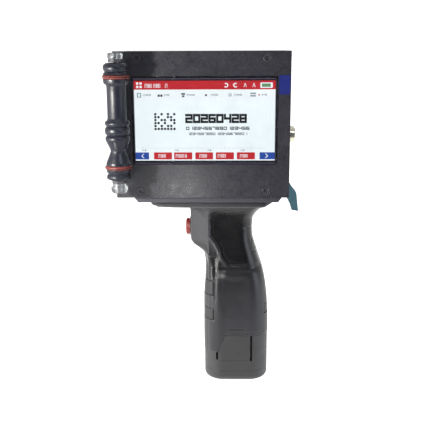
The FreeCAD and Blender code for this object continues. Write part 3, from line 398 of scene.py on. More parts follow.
STATIONS = [  # height, front, back, half depth, corner radius
    (20.0, -24.1, 24.1, 21.0, 14.0), (40.0, -24.2, 24.1, 21.0, 14.0), (54.0, -24.2, 23.8, 21.0, 14.0),
    (62.0, -24.1, 23.3, 21.0, 13.8), (70.0, -23.9, 22.5, 21.0, 13.4), (78.0, -23.2, 21.4, 20.4, 12.8),
    (86.0, -22.7, 19.5, 19.3, 12.0), (94.0, -22.5, 16.8, 18.4, 11.3), (100.0, -22.3, 14.8, 18.1, 10.8),
    (106.0, -21.9, 13.0, 18.0, 10.4), (112.0, -21.6, 11.9, 18.0, 10.1), (117.0, -21.5, 11.6, 18.1, 10.0),
    (121.5, -21.8, 11.7, 18.5, 10.0), (125.0, -22.8, 12.0, 19.2, 10.0), (128.0, -24.2, 13.3, 20.1, 10.0),
    (131.0, -26.6, 15.6, 21.3, 10.0), (133.4, -29.6, 18.4, 22.5, 10.0), (135.2, -33.4, 21.4, 23.6, 10.0)]
CENTRE_X = -5.0
STEP = 0.5
SHELL = 2.4
GRIP_REACH = 75.0  # farther from the centre line than any of the grip's skin
BASE_ROWS = 73  # rows of points between the battery's seam and where level rows start
LEVEL_START = 60.0
FLANGE_ROWS = (9, 6, 4)  # rows along the underside, round its edge and up its side
FREE_ROWS = 14  # rows at the top where the inner skin may lie below the outer one
BOSS = {"x1": -8.0, "half": 11.0, "root_half": 18.0, "root_x": -20.4, "corner": 3.0, "blend": 3.0}
BOSS_FACE = [(90.0, -20.5), (95.0, -22.2), (98.0, -23.4), (100.5, -25.4), (103.0, -28.6), (105.7, -32.0),
             (109.0, -33.5), (112.0, -33.6), (130.6, -33.6), (132.0, -34.5), (133.4, -37.0), (134.3, -41.0),
             (135.2, -49.0)]
FLANGE = {"x0": -61.6, "x1": 26.2, "half": 24.0, "nose_half": 21.8, "corner": 8.0, "z0": 135.2, "z1": 140.8,
          "edge": 1.6}
THUMB = [(-15.6, 131.6), (-17.9, 130.7), (-19.2, 128.6), (-19.6, 125.5), (-19.6, 113.8), (-15.5, 108.4),
         (-12.6, 103.1), (-11.1, 96.3), (-6.8, 91.0), (1.2, 90.2), (9.0, 92.0), (13.0, 130.7)]
PALM = [(-11.9, 85.6), (-0.2, 84.4), (12.0, 85.0), (17.5, 74.0), (16.5, 46.0), (-13.4, 46.0), (-14.1, 76.4)]
SEAM = [(-30.0, 23.6), (-13.4, 23.6), (-8.6, 36.9), (30.0, 36.9)]
FRONT_PADS = ((48.6, 57.8), (67.6, 79.0))
FRONT_PAD_X = -16.6
PAD_GAP = 0.15  # round each pad, inside its recess
PAD_SINK, PAD_ROLL = 0.12, 0.75  # how far a pad's face and its rolled rim lie below the skin
PAD_CORE = 0.965  # size of a pad's hidden side beside its face
BACK_PADS = ((52.6, 60.2), (100.0, 109.8))
BACK_PAD_X = {52.6: 20.6, 100.0: 10.6}
SCREW_PLACES = ((-17.0, 88.0), (12.5, 88.0), (4.0, 122.0))


def seam_height(x):
    return np.interp(x, [point[0] for point in SEAM], [point[1] for point in SEAM])


def station(z, column):
    return hermite(z, [row[0] for row in STATIONS], [row[column] for row in STATIONS])


def groove(distance, width, depth):
    """A rounded groove along where distance is zero."""
    return depth * np.exp(-(distance / (0.5 * width)) ** 2)


def grip_relief(x, y, z):
    """How far the grip's skin lies below its smooth form."""
    side = smoothstep(8.0, 13.0, np.abs(y))
    thumb = inside_distance(x, z, THUMB)
    thumb_fade = 1 - smoothstep(-6.0, 6.0, x)
    relief = side * groove(thumb - 2.4, 0.8, 0.2) * thumb_fade
    relief -= side * groove(thumb + 1.0, 1.7, 0.24) * thumb_fade
    relief += side * 0.7 * np.exp(-((z - 88.6) / 2.6) ** 2) * smoothstep(-14.5, -10.0, x)
    palm = inside_distance(x, z, PALM)
    palm_fade = smoothstep(48.0, 68.0, z) * (1 - smoothstep(2.0, 16.0, x))
    relief += side * 1.1 * smoothstep(1.0, 7.0, palm) * palm_fade
    relief -= side * groove(palm - 0.2, 3.2, 0.3) * palm_fade
    strap = 1 - smoothstep(-16.4, -15.6, x)
    below = smoothstep(97.0, 95.5, z)
    relief += groove(x + 15.7, 0.8, 0.3) * side * below * smoothstep(62, 66, z)
    relief += side * 0.5 * np.exp(-((x + 14.9) / 1.4) ** 2) * smoothstep(80.5, 83.0, z) * smoothstep(99.0, 96.5, z)
    for height in (97.6, 89.4):
        relief += side * strap * groove(z - height, 0.7, 0.25)
    for z0, z1 in FRONT_PADS:
        edge = np.minimum(np.minimum(z - z0, z1 - z), FRONT_PAD_X - x)
        relief += 1.0 * smoothstep(-0.15, 0.15, edge)
    for z0, z1 in BACK_PADS:
        edge = np.minimum(np.minimum(z - z0, z1 - z), x - BACK_PAD_X[z0])
        relief += 1.0 * smoothstep(-0.15, 0.15, edge)
    relief += groove(z - 118.7, 0.7, 0.3) * smoothstep(3.0, 6.0, x)
    bar = np.minimum(np.minimum(x + 4.9, 6.6 - x), np.minimum(z - 41.4, 42.6 - z))
    relief += side * 0.6 * smoothstep(-0.2, 0.3, bar)
    relief += groove(z - seam_height(x - 0.7) - 2.3, 0.5, 0.25)
    relief += groove(y, 0.5, 0.3) * (z < 135)
    return relief


def grip_form(x, y, z):
    """Signed distance to the grip's smooth form, with the trigger boss blended into it."""
    body = rounded_rectangle(x, y, station(z, 1), station(z, 2), station(z, 3), station(z, 4))
    face = hermite(z, [row[0] for row in BOSS_FACE], [row[1] for row in BOSS_FACE])
    widen = np.clip((x - face) / (BOSS["root_x"] - face), 0, 1)
    half = BOSS["half"] + (BOSS["root_half"] - BOSS["half"]) * widen
    boss = rounded_rectangle(x, y * BOSS["half"] / half, face, BOSS["x1"], BOSS["half"], BOSS["corner"])
    return smooth_union(body, boss, BOSS["blend"])


def thumb_cut(form, x, y, z, inset):
    """The form with the flat thumb recess let into both sides of the neck."""
    floor_y = 16.8 + 0.006 * np.maximum(x + 14, 0) ** 2 + 0.006 * np.maximum(z - 116, 0) ** 2 - 0.75 * inset
    cut = smooth_union(np.abs(y) - floor_y, inside_distance(x, z, THUMB) + 0.75 * inset, 1.0)
    return -smooth_union(-form, -cut, 1.0)


def flange_form(x, y):
    half = FLANGE["nose_half"] + (FLANGE["half"] - FLANGE["nose_half"]) * smoothstep(FLANGE["x0"], -36.0, x)
    return rounded_rectangle(x, y * FLANGE["half"] / half, FLANGE["x0"], FLANGE["x1"], FLANGE["half"],
                             FLANGE["corner"])


def radius_of(form, angle):
    """Distance from the grip's centre line to the form's surface in each direction."""
    low, high = np.zeros(angle.shape), np.full(angle.shape, GRIP_REACH)
    for _ in range(26):
        middle = (low + high) / 2
        outside = form(CENTRE_X + middle * np.cos(angle), middle * np.sin(angle)) > 0
        high = np.where(outside, middle, high)
        low = np.where(outside, low, middle)
    return low


def column_angles():
    """Directions that lie evenly along the grip's outline, closer where the boss leaves it."""
    fine = np.linspace(0, math.pi, 2000)
    nominal = radius_of(lambda x, y: rounded_rectangle(x, y, -24.0, 22.0, 19.5, 12.0), fine)
    x, y = nominal * np.cos(fine), nominal * np.sin(fine)
    along = np.hypot(np.diff(x), np.diff(y)) / STEP
    along *= 1 + 1.6 * smoothstep(2.42, 2.55, fine[1:]) * (1 - smoothstep(2.86, 2.95, fine[1:]))
    total = np.concatenate([[0], np.cumsum(along)])
    return np.interp(np.linspace(0, total[-1], int(total[-1]) + 1), total, fine)


def grip_grid(inset, relief):
    """Rows of points from the seam with the battery up to the flange's top, over half the outline."""
    angle = column_angles()
    low_x = CENTRE_X + np.cos(angle) * radius_of(
        lambda x, y: rounded_rectangle(x, y, -24.1, 24.1, 21.0, 14.0), angle)
    start = seam_height(low_x)
    rows = []
    for share in np.linspace(0, 1, BASE_ROWS + 1)[:-1]:
        rows.append(start + (LEVEL_START - start) * share)
    for height in np.arange(LEVEL_START, FLANGE["z0"], STEP):
        rows.append(np.full(angle.shape, height))
    heights = np.array(rows)
    directions = np.broadcast_to(angle, heights.shape)

    def neck(x, y):
        form = thumb_cut(grip_form(x, y, heights) + inset, x, y, heights, inset)
        return form + grip_relief(x, y, heights) if relief else form
    radii = radius_of(neck, directions)
    radii -= 0.35 * (1 - smoothstep(0.0, 0.6, heights - start)) if relief else 0.0
    top = radius_of(lambda x, y: grip_form(x, y, FLANGE["z0"]) + inset, angle)
    wide = radius_of(lambda x, y: flange_form(x, y) + inset, angle)
    levels, widths = [], []
    under, edge = FLANGE["z0"] + inset, FLANGE["edge"]
    along, round_edge, up = FLANGE_ROWS
    outer = np.maximum(wide - edge, top)
    for share in np.linspace(0, 1, along):
        levels.append(np.full(angle.shape, under))
        widths.append(top + (outer - top) * share)
    for turn in np.linspace(0, math.pi / 2, round_edge + 1)[1:]:
        levels.append(np.full(angle.shape, under + edge * (1 - math.cos(turn))))
        widths.append(outer + (wide - outer) * math.sin(turn))
    for share in np.linspace(0, 1, up + 1)[1:]:
        levels.append(np.full(angle.shape, under + edge + (FLANGE["z1"] - under - edge) * share))
        widths.append(wide)
    levels, widths = np.array(levels), np.array(widths)
    x = CENTRE_X + widths * np.cos(angle)
    lift = 0.6 * smoothstep(-50.0, -58.0, x) + 2.4 * smoothstep(19.0, 26.2, x) ** 0.7
    levels += lift * np.clip((FLANGE["z1"] - levels) / (FLANGE["z1"] - FLANGE["z0"]), 0, 1)
    heights = np.concatenate([heights, levels])
    radii = np.concatenate([radii, widths])
    directions = np.broadcast_to(angle, heights.shape)
    return np.stack([CENTRE_X + radii * np.cos(directions), radii * np.sin(directions), heights], axis=-1)


def hole_cutter():
    """Rods for the trigger's hole, the three screw wells and the flange's two countersinks."""
    work = bmesh.new()

    def rod(radius, depth, place, turn, far=None):
        bmesh.ops.create_cone(work, cap_ends=True, segments=64, radius1=radius * MM,
                              radius2=(radius if far is None else far) * MM, depth=depth * MM,
                              matrix=Matrix.Translation(Vector(place) * MM) @ turn)
    along_x = Matrix.Rotation(math.pi / 2, 4, "Y")
    along_y = Matrix.Rotation(math.pi / 2, 4, "X")
    rod(6.3, 12, (-32.0, 0, 116.1), along_x)
    for x, z in SCREW_PLACES:
        rod(2.9, 16, (x, 20.5, z), along_y)
    for y in (-18.0, 18.0):
        rod(2.8, 1.8, (-54.6, y, 136.0), Matrix(), 1.4)
        rod(1.5, 12, (-54.6, y, 140.0), Matrix())
    mesh = bpy.data.meshes.new("grip_cutter")
    work.to_mesh(mesh)
    work.free()
    return new_object("grip_cutter", mesh)


def apply_modifiers(piece):
    graph = bpy.context.evaluated_depsgraph_get()
    mesh = bpy.data.meshes.new_from_object(piece.evaluated_get(graph))
    piece.modifiers.clear()
    piece.data = mesh


def polish(x, y, z):
    """1 where the grip is glossy and its colour darkened as painted shade (thumb recess, waist, palm, back of the
    neck, under the flange); 0 where it is matt.
    """
    thumb = smoothstep(-1.5, 1.5, inside_distance(x, z, THUMB))
    waist = smoothstep(72.0, 88.0, z) * smoothstep(112.0, 96.0, z)
    palm = smoothstep(-3.0, 3.0, inside_distance(x, z, PALM)) * smoothstep(40.0, 92.0, z)
    back = smoothstep(-2.0, 4.0, x) * smoothstep(92.0, 100.0, z) * smoothstep(135.4, 134.6, z)
    crown = 0.6 * smoothstep(-21.0, -18.0, x) * smoothstep(129.0, 132.0, z) * smoothstep(135.4, 134.9, z)
    return np.maximum.reduce([thumb, 0.8 * waist, 0.65 * palm, 0.9 * back, crown])


def worn(x, y, z):
    """Up to 1 where a painted highlight lightens the grip: along the flange's lower edge and on the lips of the thumb
    recess and palm.
    """
    flange = 0.22 * smoothstep(135.15, 135.3, z) * smoothstep(136.5, 135.8, z)
    lip = np.exp(-((inside_distance(x, z, THUMB) + 0.4) / 0.7) ** 2) * np.exp(-((x + 12.2) / 2.4) ** 2)
    lip *= smoothstep(88.0, 92.0, z) * smoothstep(104.0, 98.0, z)
    shoulder = np.exp(-((x + 10.4) / 1.9) ** 2 - ((z - 83.4) / 1.9) ** 2)
    return flange + (np.abs(y) > 10) * (0.8 * lip + 0.7 * shoulder)


def build_grip():
    outer, inner = grip_grid(0.0, True), grip_grid(SHELL, False)
    cutter = hole_cutter()
    for half, side in (("back", 1), ("front", -1)):
        flip = np.array([1, side, 1])
        inside = inner.copy()
        inside[..., 2][-1] = FLANGE["z1"]
        inside[:-FREE_ROWS, :, 2] = np.maximum(inside[:-FREE_ROWS, :, 2], outer[:-FREE_ROWS, :, 2])
        points, faces = closed_sheet(outer * flip, inside * flip)
        piece = new_piece(f"grip_skin_{half}", points, faces, "head", "grip_grey")
        cut = piece.modifiers.new("holes", "BOOLEAN")
        cut.object = cutter
        cut.operation = "DIFFERENCE"
        cut.solver = "EXACT"
        bpy.context.view_layer.update()
        apply_modifiers(piece)
        piece.data.shade_smooth()
        piece.data.set_sharp_from_angle(angle=math.radians(38))
        x, y, z = (np.array([vertex.co for vertex in piece.data.vertices]) / MM).T
        # stores the painted shade mask and the painted highlight mask on the points
        for finish in (polish, worn):
            layer = piece.data.attributes.new(finish.__name__, "FLOAT", "POINT")
            layer.data.foreach_set("value", finish(x, y, z))
        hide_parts(f"grip_shell_{half}")
    bpy.data.objects.remove(cutter)


def build_pads():
    """Soft pads let into the straps, each a thin crowned sheet that follows the grip's skin."""
    for side, bands in (("front", FRONT_PADS), ("back", BACK_PADS)):
        front = side == "front"
        points, faces = [], []
        for z0, z1 in bands:
            edge_x = FRONT_PAD_X - PAD_GAP if front else BACK_PAD_X[z0] + PAD_GAP
            heights = np.linspace(z0 + PAD_GAP, z1 - PAD_GAP, int((z1 - z0) / 0.4))
            share = np.linspace(-1, 1, 121)
            middle = math.pi if front else 0.0
            grid = []
            for z in heights:
                sweep = np.linspace(0, math.pi / 2, 900)
                turn = math.pi - sweep if front else sweep
                radii = radius_of(lambda x, y: grip_form(x, y, np.full(x.shape, z)), turn)
                x = CENTRE_X + radii * np.cos(turn)
                reach = sweep[np.argmax(x > edge_x) if front else np.argmax(x < edge_x)]
                angle = middle + share * reach
                rim = np.minimum((1 - np.abs(share)) * reach * 20, min(z - z0, z1 - z) - PAD_GAP)
                drop = PAD_SINK + PAD_ROLL * (1 - smoothstep(0, 0.7, rim))
                radii = radius_of(lambda x, y: grip_form(x, y, np.full(x.shape, z)), angle) - drop
                grid.append(np.stack([CENTRE_X + radii * np.cos(angle), radii * np.sin(angle),
                                      np.full(angle.shape, z)], axis=-1))
            outer = np.array(grid)
            inner = outer.copy()
            inner[..., 0] = CENTRE_X + (outer[..., 0] - CENTRE_X) * PAD_CORE
            inner[..., 1] = outer[..., 1] * PAD_CORE
            more, quads = closed_sheet(outer, inner)
            faces += [tuple(index + len(points) for index in quad) for quad in quads]
            points += more
        piece = new_piece(f"{side}_pads", points, faces, "head", "pad_rubber", 40)
        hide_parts(f"{side}_strap_pads")


build_grip()
build_pads()


# ---------------------------------------------------------------- turned parts and screws

ROLLER_FORM = [  # radius, height above the underside of the box, bottom to top
    (2.7, 15.1), (5.0, 15.1), (6.4, 15.4), (7.8, 16.2), (8.1, 17.0), (8.0, 18.2), (7.5, 18.9), (7.1, 19.6),
    (7.3, 20.2), (7.9, 20.7), (8.1, 21.6), (8.1, 22.6), (7.0, 23.2), (7.0, 24.6), (8.1, 25.2), (8.2, 26.3),
    (7.9, 27.2), (6.6, 30.4), (5.3, 33.6), (4.95, 34.8), (5.3, 36.0), (6.6, 38.8), (7.8, 41.4), (8.1, 42.4),
    (8.1, 43.6), (7.7, 44.3), (7.1, 45.0), (7.6, 45.7), (8.2, 46.4), (8.3, 48.0), (8.2, 49.5), (7.7, 50.3),
    (7.2, 51.0), (7.7, 51.7), (8.2, 52.4), (8.2, 53.6), (7.6, 54.4), (6.7, 55.0), (6.3, 56.2), (6.25, 66.5),
    (6.3, 76.9), (6.8, 77.9), (7.8, 78.5), (8.2, 79.3), (8.3, 81.4), (7.1, 82.0), (7.1, 83.7), (8.3, 84.3),
    (8.2, 85.0), (7.6, 85.6), (7.2, 86.1), (7.6, 86.9), (8.1, 87.6), (8.2, 88.9), (8.0, 90.0), (7.3, 91.0),
    (6.2, 91.7), (5.0, 91.9), (2.7, 91.9)]
CAP_FORMS = (
    [(2.5, 94.15), (4.4, 94.15), (4.8, 94.6), (4.95, 95.2), (4.95, 97.0), (4.6, 97.7), (3.9, 98.0), (2.9, 97.75),
     (2.2, 97.4), (0.02, 97.3)],
    [(2.6, 12.95), (4.3, 12.95), (4.4, 11.6), (4.6, 11.2), (5.4, 10.8), (5.6, 10.1), (5.6, 9.2), (5.4, 8.0),
     (4.9, 6.9), (3.8, 6.35), (2.6, 6.5), (2.2, 6.9), (0.02, 7.0)])
RING_HEIGHTS = (23.9, 82.8)
RING_RADIUS, RING_WIRE = 7.8, 1.25
SCREW_RADIUS = 2.89
SCREW_FLANK = [  # radius, depth below the panel, from the face's rim down to the shank's end
    (2.35, 0.11), (2.5, 0.15), (2.6, 0.24), (2.66, 0.4), (2.68, 0.6), (2.6, 0.9), (1.6, 2.0), (1.5, 6.0), (0.02, 6.0)]
SEGMENTS = 96


def turned_piece(name, forms, centre, body, slot, axis="Z"):
    """Closed turned parts from (radius, height) profiles, about an axis through the centre."""
    turns = np.linspace(0, math.tau, SEGMENTS, endpoint=False)
    points, faces = [], []
    for form in forms:
        radii, heights = (np.array(column)[:, None] for column in zip(*form))
        ring = np.stack([radii * np.cos(turns), radii * np.sin(turns), heights + 0 * turns], axis=-1)
        faces += [tuple(index + len(points) for index in quad) for quad in
                  grid_faces(len(form), SEGMENTS, 0, True)]
        first, last = len(points), len(points) + (len(form) - 1) * SEGMENTS
        points += ring.reshape(-1, 3).tolist()
        if form[0][0] != form[-1][0] or form[0][0] < 0.1:
            faces += [tuple(range(first + SEGMENTS - 1, first - 1, -1)), tuple(range(last, last + SEGMENTS))]
        else:
            faces += [(last + index, last + (index + 1) % SEGMENTS, first + (index + 1) % SEGMENTS, first + index)
                      for index in range(SEGMENTS)]
    swap = {"Z": (0, 1, 2), "X": (2, 0, 1)}[axis]
    placed = [[centre[number] + point[swap[number]] for number in range(3)] for point in points]
    return new_piece(name, placed, faces, body, slot, 40)


def ring_form(height):
    turns = [math.tau * step / 20 for step in range(20)]
    return [(RING_RADIUS + RING_WIRE * math.cos(turn), height + RING_WIRE * math.sin(turn)) for turn in turns]


def build_rollers():
    """Both rollers with their rings and end caps, smooth where the frame's are faceted."""
    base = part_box("chassis")[0].z / MM
    for side in ("front", "rear"):
        low, high = (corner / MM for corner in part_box(f"{side}_roller_shaft"))
        centre = ((low.x + high.x) / 2, (low.y + high.y) / 2, base)
        body = f"{side}_roller"
        roller = turned_piece(f"{side}_roller_turned", [ROLLER_FORM], centre, body, "roller_black")
        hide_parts(f"{side}_roller")
        rings = turned_piece(f"{side}_roller_cords", [ring_form(height) for height in RING_HEIGHTS], centre, body,
                             "ring_orange")
        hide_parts(f"{side}_roller_rings")
        caps = turned_piece(f"{side}_shaft_caps", CAP_FORMS, centre, "head", "cap_clear")
        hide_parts(f"{side}_roller_caps")


def build_trigger_and_button():
    low, high = (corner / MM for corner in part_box("trigger_button"))
    middle = (low.z + high.z) / 2
    form = [(0.02, 0.0), (3.6, 0.0), (5.0, 0.12), (5.8, 0.5), (6.1, 1.2), (6.1, high.x - low.x - 2.2),
            (5.0, high.x - low.x - 2.0), (0.02, high.x - low.x - 2.0)]
    trigger = turned_piece("trigger_cap", [form], (low.x, 0, middle), "trigger", "trigger_red", "X")
    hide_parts("trigger_button")
    low, high = (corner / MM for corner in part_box("power_button_cap"))
    reach = high.x - low.x
    form = [(0.02, reach), (2.6, reach), (3.4, reach - 0.08), (3.55, reach - 0.25), (3.75, reach - 0.08),
            (4.05, reach - 0.15), (4.25, reach - 0.45), (4.25, 0.0), (0.02, 0.0)]
    cap = turned_piece("power_cap_face", [form], (low.x, (low.y + high.y) / 2, (low.z + high.z) / 2),
                       "power_cap", "button_metal", "X")
    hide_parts("power_button_cap")


def build_panel_screws():
    """Countersunk cross-head screws, each a hair below its panel with a dark gap round it."""
    turns = np.linspace(0, math.tau, SEGMENTS + 1)[:-1]
    face_radii = np.linspace(0.02, 2.2, 34)
    radii = np.concatenate([face_radii, [radius for radius, sink in SCREW_FLANK]])
    for side, facing in (("front", -1), ("back", 1)):
        low, high = (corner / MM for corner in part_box(f"{side}_panel_screws"))
        face = low.y if facing < 0 else high.y
        points, faces = [], []
        for x in (low.x + SCREW_RADIUS, high.x - SCREW_RADIUS):
            for z in (low.z + SCREW_RADIUS, high.z - SCREW_RADIUS):
                twist = 0.3 + 0.011 * (x + z)
                for number, radius in enumerate(radii):
                    across, up = radius * np.cos(turns), radius * np.sin(turns)
                    slot_a = np.abs(across * math.cos(twist) + up * math.sin(twist))
                    slot_b = np.abs(up * math.cos(twist) - across * math.sin(twist))
                    cross = np.maximum(1 - smoothstep(0.34, 0.6, slot_a), 1 - smoothstep(0.34, 0.6, slot_b))
                    sink = 0.10 + 0.9 * cross * (1 - smoothstep(1.25, 1.75, radius))
                    if number >= len(face_radii):
                        sink = np.full(turns.shape, SCREW_FLANK[number - len(face_radii)][1])
                    points += np.stack([x + across, face - facing * sink, z + up], axis=-1).tolist()
                start = len(points) - len(radii) * len(turns)
                faces += grid_faces(len(radii), len(turns), start, True)
                faces += [tuple(range(start, start + len(turns))),
                          tuple(range(len(points) - 1, len(points) - len(turns) - 1, -1))]
        screws = new_piece(f"{side}_screw_heads", points, faces, "head", "screw_black", 30)
        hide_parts(f"{side}_panel_screws")


build_rollers()
build_trigger_and_button()
build_panel_screws()


# ---------------------------------------------------------------- display

SCREEN_LOW, SCREEN_HIGH = (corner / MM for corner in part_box("touch_glass"))
LIT = {"x0": -69.3, "x1": 25.7, "z0": 170.8, "z1": 224.6}
LAYER = 0.04
PICTURE_BACK = SCREEN_HIGH.y - 0.05


def on_screen(u, v):
    """Place in millimetres of a share of the display's width and height from its top left."""
    return LIT["x0"] + (LIT["x1"] - LIT["x0"]) * u, LIT["z1"] - (LIT["z1"] - LIT["z0"]) * v


class Plates:
    """Thin rounded plates and discs gathered into one piece."""

    def __init__(self, name, material, level):
        self.name, self.material = name, material
        self.front = PICTURE_BACK - LAYER * level
        self.points, self.faces = [], []

    def outline(self, contour):
        start = len(self.points)
        count = len(contour)
        for y in (self.front, self.front + LAYER * 0.8):
            self.points += [(x, y, z) for x, z in contour]
        self.faces.append(tuple(range(start, start + count)))
        self.faces.append(tuple(range(start + 2 * count - 1, start + count - 1, -1)))
        for index in range(count):
            after = (index + 1) % count
            self.faces.append((start + index, start + after, start + count + after, start + count + index))
        return self

    def box(self, u0, v0, u1, v1, corner=0.25):
        """Rounded rectangle between two corners."""
        (x0, z1), (x1, z0) = on_screen(u0, v0), on_screen(u1, v1)
        corner = min(corner, (x1 - x0) / 2.1, (z1 - z0) / 2.1)
        contour = []
        for cx, cz, start in ((x1 - corner, z1 - corner, 0), (x0 + corner, z1 - corner, 90),
                              (x0 + corner, z0 + corner, 180), (x1 - corner, z0 + corner, 270)):
            for step in range(5):
                turn = math.radians(start + 22.5 * step)
                contour.append((cx + corner * math.cos(turn), cz + corner * math.sin(turn)))
        return self.outline(contour)

    def disc(self, u, v, radius, hollow=0.0, start=0.0, end=360.0):
        """Disc, ring or open arc of radius millimetres."""
        cx, cz = on_screen(u, v)
        turns = [math.radians(start + (end - start) * step / 20) for step in range(21)]
        rim = [(cx + radius * math.cos(turn), cz + radius * math.sin(turn)) for turn in turns]
        if not hollow:
            return self.outline(rim[:-1])
        back = [(cx + hollow * math.cos(turn), cz + hollow * math.sin(turn)) for turn in turns]
        for step in range(20):
            self.outline([rim[step], rim[step + 1], back[step + 1], back[step]])
        return self

    def chevron(self, u, v, reach):
        """An arrowhead whose tip is at u, v; it opens to the right if reach is positive."""
        x, z = on_screen(u, v)
        tall, thick = abs(reach), 0.45 * reach
        for rise in (-tall, tall):
            self.outline([(x, z), (x + thick, z), (x + reach + thick, z + rise), (x + reach, z + rise)])
        return self

    def peak(self, u, v, tall):
        """Two legs that lean together into a plain peak."""
        x, z = on_screen(u, v)
        for lean in (-1, 1):
            self.outline([(x + lean * 0.8 * tall, z - tall), (x + lean * 0.5 * tall, z - tall),
                          (x - lean * 0.1, z + tall), (x + lean * 0.25, z + tall)])
        return self

    def build(self):
        made = new_piece(self.name, self.points, self.faces, "head", "lcd_frame")
        made.data.materials.clear()
        made.data.materials.append(self.material)


GLOW = {
    "white": lit("glow_white", srgb(246, 252, 252), 1.15),
    "pale": lit("glow_pale", srgb(240, 249, 249), 1.2),
    "red": lit("glow_red", srgb(214, 36, 46), 0.95),
    "blue": lit("glow_blue", srgb(40, 82, 176), 0.9),
    "ink": lit("glow_ink", srgb(16, 18, 24), 0.5),
    # painted highlight: glowing lavender lines standing in for light caught by the glass edges
    "rim": lit("glow_rim", srgb(128, 116, 150), 0.5),
    "grey": lit("glow_grey", srgb(150, 164, 176), 0.9),
    "teal": lit("glow_teal", srgb(40, 140, 150), 0.9),
    "green": lit("glow_green", srgb(110, 160, 110), 0.9),
}

DIGITS = {
    "0": "abcdef", "1": "bc", "2": "abged", "3": "abgcd", "4": "fgbc", "5": "afgcd", "6": "afgedc",
    "7": "abc", "8": "abcdefg", "9": "abcdfg"}
BARS = {"a": (0, 0, 1, 0), "b": (1, 0, 1, 0.5), "c": (1, 0.5, 1, 1), "d": (0, 1, 1, 1), "e": (0, 0.5, 0, 1),
        "f": (0, 0, 0, 0.5), "g": (0, 0.5, 1, 0.5)}


def digits(plates, text, u, v, width, height, weight):
    """Numerals in the bar style of a coder, left to right from u."""
    for number, sign in enumerate(text):
        left = u + number * width * 1.45
        for bar in DIGITS[sign]:
            u0, v0, u1, v1 = BARS[bar]
            plates.box(left + u0 * width - weight / 2, v + v0 * height - weight,
                       left + u1 * width + weight / 2, v + v1 * height + weight, 0.12)


def words(plates, u, v, height, lengths):
    """A run of small numerals in place of a line of menu text."""
    for number, length in enumerate(lengths):
        for part in range(2):
            digits(plates, str((3 * number + 5 * part + 2) % 10), u, v, 0.30 * length, height, 0.0026)
            u += 0.30 * length + 0.0042
        u += 0.002


